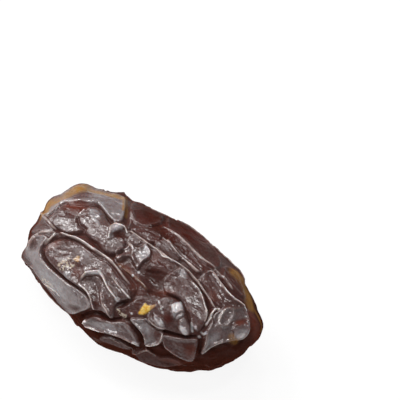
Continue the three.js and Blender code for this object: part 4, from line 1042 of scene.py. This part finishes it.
def skin_fields(p, normals):
    """The relief of the skin, and the masks that its colours and shine follow, painted highlights, sheen and
    shade among them.
    """
    sight = normals @ BACK / TURNED_AWAY
    facing = smooth(sight)
    rear = smooth(-sight)
    rear_crests, rear_grooves = rear_folds()
    crest, line = blended_height(p, normals, traced_folds(CRESTS) + rear_crests)
    groove, valley = blended_height(p, normals, traced_folds(GROOVES) + rear_grooves)
    plates, bloom_and_sheen, rims = plate_fields(in_view(p + USUAL_RISE * normals), facing)
    rear_plates, rear_bloom_and_sheen, rear_rims = rear_plate_fields(p, rear)
    thin_lines, light = thin_fields(p, normals, facing, THIN_LINES)
    creases, crease_shade = thin_fields(p, normals, facing, THIN_CREASES)
    flank = ramp(p[:, 2], *FLANK_TOP) * np.clip(1 - bloom_and_sheen, 0, 1) * (1 - rear)
    flank_wrinkles = wrinkle_height(p, FLANK_WRINKLES)

    relief = crest - groove + plates + rear_plates + patches(p, LUMPS) + swell_height(p)
    relief += wrinkle_height(p, WRINKLES) + flank * flank_wrinkles
    relief += scar_height(p, STEM_SCAR) + scar_height(p, TIP_SCAR)
    relief += thin_lines - creases
    scraps, masks = scrap_fields(in_view(p + normals * relief[:, None]), facing)

    red = np.clip(patches(p, REDS), 0, 1)
    rims = np.maximum(rims, rear_rims)
    # Painted highlights on crests and plate rims, fainter on the rear.
    seam_highlights = np.maximum(line ** 2, RIM_LIGHT * rims) * (1 - REAR_LINE_LOSS * rear)
    # A painted highlight on the crests of the flank's wrinkles.
    flank_light = FLANK_LIGHT * flank * ramp(flank_wrinkles, *FLANK_CREST)
    # A painted sheen on open skin, lighter where it faces the view and stands high.
    open_skin_sheen = OPEN_SKIN_SHEEN * facing * ramp(p[:, 2], *OPEN_HEIGHTS)
    # Painted highlights and painted shade laid over the bloom and its sheen.
    bloom_with_painted_light = np.clip(np.maximum(bloom_and_sheen, open_skin_sheen) * (1 + patches(p, PAINTED_LIGHT_AND_SHADE)), 0, MOST_BLOOM_AND_SHEEN)
    masks["line"] = np.maximum(np.maximum(seam_highlights, light), flank_light) * (1 - RED_IN_LINES * red)
    masks["light"] = light
    masks["red"] = red
    # Painted shade in grooves and thin creases.
    masks["valley"] = np.maximum(valley, crease_shade) * (1 - RED_IN_VALLEYS * red)
    # Bright facets add a painted highlight.
    masks["bloom_and_sheen"] = np.minimum(MOST_BLOOM_AND_SHEEN, bloom_with_painted_light + FACET_HIGHLIGHT * masks.pop("facet"))
    masks["amber"] = amber_field(p, normals)
    masks["rear"] = rear_bloom_and_sheen
    above_flank = np.maximum(ramp(p[:, 2], *FLANK_HEIGHTS), np.minimum(1, bloom_and_sheen))
    masks["high"] = np.maximum(above_flank, REAR_LIGHT * rear)
    return (relief + scraps) * off_the_rest_patch(p), masks


def geodesic(detail):
    """Points and triangles of a sphere made from an icosahedron whose edges are cut into equal steps."""
    g = (1 + 5 ** 0.5) / 2
    corners = np.array([(-1, g, 0), (1, g, 0), (-1, -g, 0), (1, -g, 0), (0, -1, g), (0, 1, g),
                        (0, -1, -g), (0, 1, -g), (g, 0, -1), (g, 0, 1), (-g, 0, -1), (-g, 0, 1)], float)
    faces = [(0, 11, 5), (0, 5, 1), (0, 1, 7), (0, 7, 10), (0, 10, 11), (1, 5, 9), (5, 11, 4), (11, 10, 2),
             (10, 7, 6), (7, 1, 8), (3, 9, 4), (3, 4, 2), (3, 2, 6), (3, 6, 8), (3, 8, 9), (4, 9, 5),
             (2, 4, 11), (6, 2, 10), (8, 6, 7), (9, 8, 1)]
    points = []
    triangles = []
    for a, b, c in faces:
        number = {}
        for i in range(detail + 1):
            for j in range(detail + 1 - i):
                number[i, j] = len(points)
                points.append((corners[a] * (detail - i - j) + corners[b] * i + corners[c] * j) / detail)
        for i in range(detail):
            for j in range(detail - i):
                triangles.append((number[i, j], number[i + 1, j], number[i, j + 1]))
                if j < detail - i - 1:
                    triangles.append((number[i + 1, j], number[i + 1, j + 1], number[i, j + 1]))
    points = np.array(points)
    points /= np.linalg.norm(points, axis=1)[:, None]
    _, first, merged = np.unique(points.round(6), axis=0, return_index=True, return_inverse=True)
    return points[first], merged.reshape(-1)[np.array(triangles)]


def spread(p):
    """Moves points of the unit sphere so that the mesh is finer along the middle and where most folds are."""
    angle = np.arccos(np.clip(p[:, 0], -1, 1))
    shifted = angle + MIDDLE_SHARE * np.sin(2 * angle)
    girth = np.hypot(p[:, 1], p[:, 2])
    size = np.sin(shifted) / np.where(girth == 0, 1, girth)
    moved = np.stack([np.cos(shifted), p[:, 1] * size, p[:, 2] * size], -1)
    moved = moved + FOLDED_SHARE * np.array(FOLDED_SIDE)
    return moved / np.linalg.norm(moved, axis=1)[:, None]


def stand_on_origin(p):
    """The move that puts the middle of the fruit's box over the origin, and its foot on z = 0."""
    low, high = p.min(0), p.max(0)
    return np.array([-(low[0] + high[0]) / 2, -(low[1] + high[1]) / 2, -low[2]])


def placed(name, data):
    piece = bpy.data.objects.new(name, data)
    bpy.context.scene.collection.objects.link(piece)
    return piece


def date_piece():
    sphere, triangles = geodesic(MESH_DETAIL)
    base = on_body(spread(sphere) * SPHERE_STRETCH)
    normals = outward(base)
    relief, masks = skin_fields(base, normals)
    skin = base + normals * relief[:, None]
    skin[:, 2] = np.maximum(skin[:, 2], REST_HEIGHT)
    move = stand_on_origin(skin)
    mesh = bpy.data.meshes.new("date_skin")
    mesh.from_pydata(((skin + move) / 1000).tolist(), [], triangles.tolist())
    mesh.polygons.foreach_set("use_smooth", np.ones(len(mesh.polygons), bool))
    for name, values in masks.items():
        mesh.attributes.new(name, "FLOAT", "POINT").data.foreach_set("value", values.astype(np.float32))
    return placed("date_skin", mesh), move


class Nodes:
    """A material's nodes, added one at a time."""

    def __init__(self, name):
        self.material = bpy.data.materials.new(name)
        self.material.use_nodes = True
        self.tree = self.material.node_tree

    def add(self, kind, inputs):
        """A new node, with values or other nodes' outputs given to its inputs."""
        node = self.tree.nodes.new(kind)
        self.feed(node, inputs)
        return node

    def feed(self, node, inputs):
        for key, value in inputs.items():
            if isinstance(value, bpy.types.NodeSocket):
                self.tree.links.new(value, node.inputs[key])
            else:
                node.inputs[key].default_value = value

    def surface(self, inputs):
        self.feed(self.tree.nodes["Principled BSDF"], inputs)

    def mask(self, name):
        node = self.add("ShaderNodeAttribute", {})
        node.attribute_name = name
        return node.outputs["Fac"]

    def math(self, operation, a, b, clamp=False):
        node = self.add("ShaderNodeMath", {0: a, 1: b})
        node.operation = operation
        node.use_clamp = clamp
        return node.outputs[0]

    def times(self, a, b, clamp=False):
        return self.math("MULTIPLY", a, b, clamp)

    def between(self, value, limits, ends=(0.0, 1.0)):
        """A value taken from between two limits to between two ends, and held there."""
        return self.add("ShaderNodeMapRange", dict(enumerate((value, *limits, *ends)))).outputs[0]

    def shown(self, name, limits):
        return self.between(self.mask(name), limits)

    def mix(self, share, a, b):
        sockets = [c if isinstance(c, bpy.types.NodeSocket) else (*c, 1) for c in (a, b)]
        node = self.tree.nodes.new("ShaderNodeMix")
        node.data_type = "RGBA"
        self.feed(node, {"Factor": share, 6: sockets[0], 7: sockets[1]})
        return node.outputs[2]

    def noise(self, size, detail, roughness, factor):
        """Noise of a size in mm, stretched along X where the factor on X is less than 1."""
        place = self.add("ShaderNodeTexCoord", {}).outputs["Object"]
        scaled = self.add("ShaderNodeVectorMath", {0: place, 1: (factor, 1, 1)})
        scaled.operation = "MULTIPLY"
        inputs = {"Vector": scaled.outputs[0], "Scale": 1000 / size, "Detail": detail, "Roughness": roughness}
        return self.add("ShaderNodeTexNoise", inputs).outputs["Fac"]

    def pattern(self, name):
        noise_values, limits, ends = PATTERNS[name]
        return self.between(self.noise(*noise_values), limits, ends)

    def bump(self, noise_values, height, **inputs):
        """The normal of a bumpy surface. Another bump's normal may be given as an input."""
        inputs |= {"Strength": 1.0, "Distance": height / 1000, "Height": self.noise(*noise_values)}
        return self.add("ShaderNodeBump", inputs).outputs["Normal"]


def skin_colour(nodes):
    # Bloom with its painted sheen, on the front and on the rear.
    bloom_and_sheen = nodes.math("MAXIMUM", nodes.mask("bloom_and_sheen"), nodes.mask("rear"))
    bloom_and_sheen = nodes.times(nodes.times(bloom_and_sheen, nodes.pattern("cloud")), nodes.pattern("grain"), clamp=True)
    # Painted shade of valleys, darker low on the fruit.
    valley = nodes.mix(nodes.mask("high"), VALLEY_SHADE, TOP_VALLEY_SHADE)
    flecked = nodes.mix(nodes.pattern("flecked"), YELLOW, PALE_YELLOW)
    colour = nodes.mix(nodes.pattern("redder"), SKIN, RED_SKIN)
    colour = nodes.mix(nodes.mask("high"), FLANK, colour)
    layers = [
        (bloom_and_sheen, GREY_BLOOM_AND_SHEEN),
        (nodes.times(nodes.mask("red"), RED_SHARE), RED_FLESH),
        # Wax with a painted highlight, where the bloom and its painted sheen are thickest.
        (nodes.times(nodes.shown("bloom_and_sheen", WAX_AND_HIGHLIGHT_SHOWS), nodes.pattern("patchy")), WAX_AND_HIGHLIGHT),
        # Painted shade in valleys and creases.
        (nodes.shown("valley", VALLEY_SHOWS), valley),
        # Painted highlight along crests and rims, broken up.
        (nodes.times(nodes.shown("line", LINE_SHOWS), nodes.pattern("broken_edge_highlight")), EDGE_HIGHLIGHT),
        # Painted white highlight along thin lines.
        (nodes.times(nodes.shown("light", LIGHT_SHOWS), nodes.pattern("broken")), WHITE_HIGHLIGHT),
        (nodes.times(nodes.mask("amber"), nodes.pattern("clear")), CLEAR_AMBER),
        # Painted glints on small beads.
        (nodes.mask("bead_glint"), GLEAM),
        (nodes.mask("yellow"), flecked),
        (nodes.mask("tan"), TAN),
        # Painted gleams.
        (nodes.times(nodes.mask("gleam"), nodes.pattern("gleam")), GLEAM),
        (nodes.times(nodes.mask("crumbs"), nodes.pattern("crumbs")), CRUMBS),
    ]
    for share, layer in layers:
        colour = nodes.mix(share, colour, layer)
    return colour


def skin_shine(nodes):
    """How glossy the skin is: most on the plates, little in the valleys and on the flank near the floor."""
    bloom_and_sheen = nodes.math("MAXIMUM", nodes.mask("bloom_and_sheen"), nodes.mask("rear"))
    lines = nodes.times(nodes.mask("line"), GLOSS["lines"])
    shine = nodes.times(nodes.math("ADD", nodes.times(bloom_and_sheen, GLOSS["bloom_and_sheen"]), lines), nodes.pattern("gloss"))
    shine = nodes.math("ADD", shine, GLOSS["bare"])
    shine = nodes.times(shine, nodes.between(nodes.mask("valley"), VALLEY_SHOWS, (1.0, GLOSS["valley"])))
    shine = nodes.times(shine, nodes.between(nodes.mask("high"), (0.0, 1.0), (GLOSS["low"], 1.0)))
    dull = nodes.math("MAXIMUM", nodes.mask("amber"), nodes.mask("tan"))
    shine = nodes.times(shine, nodes.between(dull, (0.0, 1.0), (1.0, GLOSS["dull"])))
    edge_on = nodes.add("ShaderNodeLayerWeight", {}).outputs["Facing"]
    return nodes.times(shine, nodes.between(edge_on, EDGE_ON_SHOWS, (1.0, GLOSS["edge on"])), clamp=True)


def skin_material():
    nodes = Nodes("skin")
    normal = nodes.bump(*SKIN_BUMP, Normal=nodes.bump(*GRAIN_BUMP))
    nodes.surface({
        "Base Color": skin_colour(nodes), "Roughness": 0.5, "Specular IOR Level": 0.0, "Normal": normal,
        "Coat Weight": skin_shine(nodes), "Coat Roughness": 0.17, "Coat IOR": 1.9, "Coat Normal": normal,
        "Subsurface Weight": 0.15, "Subsurface Radius": (0.003, 0.0008, 0.0004), "Subsurface Scale": 1.0,
    })
    return nodes.material


def floor_piece():
    s = FLOOR_SIZE
    mesh = bpy.data.meshes.new("floor")
    mesh.from_pydata([(-s, -s, 0), (s, -s, 0), (s, s, 0), (-s, s, 0)], [], [(0, 1, 2, 3)])
    floor = placed("floor", mesh)
    nodes = Nodes("floor")
    nodes.surface({
        "Base Color": (FLOOR_GREY, FLOOR_GREY, FLOOR_GREY, 1), "Roughness": 0.9, "Specular IOR Level": 0.0,
        "Emission Color": (1, 1, 1, 1), "Emission Strength": FLOOR_LIGHT,
    })
    mesh.materials.append(nodes.material)


def light_scene():
    world = bpy.data.worlds.new("room")
    world.use_nodes = True
    world.node_tree.nodes["Background"].inputs["Color"].default_value = (1, 1, 1, 1)
    world.node_tree.nodes["Background"].inputs["Strength"].default_value = ROOM_LIGHT
    bpy.context.scene.world = world
    for name, place, side, power in LIGHTS:
        light = bpy.data.lights.new(name, "AREA")
        light.size = side
        light.energy = power
        lamp = placed(name, light)
        lamp.location = place
        lamp.rotation_mode = "QUATERNION"
        lamp.rotation_quaternion = (-Vector(place)).to_track_quat("-Z", "Y")


def place_camera(move):
    """The photograph's view, moved as the fruit was when it was stood on the origin."""
    lens = bpy.data.cameras.new("camera")
    lens.sensor_width = SENSOR_WIDTH
    lens.lens = FOCAL / IMAGE_SIZE * SENSOR_WIDTH
    lens.clip_start, lens.clip_end = CAMERA_RANGE
    camera = placed("camera", lens)
    pose = Matrix((RIGHT, UP, BACK)).transposed().to_4x4()
    pose.translation = Vector((EYE + move) / 1000)
    camera.matrix_world = pose
    bpy.context.scene.camera = camera


date, move = date_piece()
date.data.materials.append(skin_material())
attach(date, "root")
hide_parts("date")
floor_piece()
light_scene()
place_camera(move)
bpy.context.scene.view_settings.view_transform = "Standard"
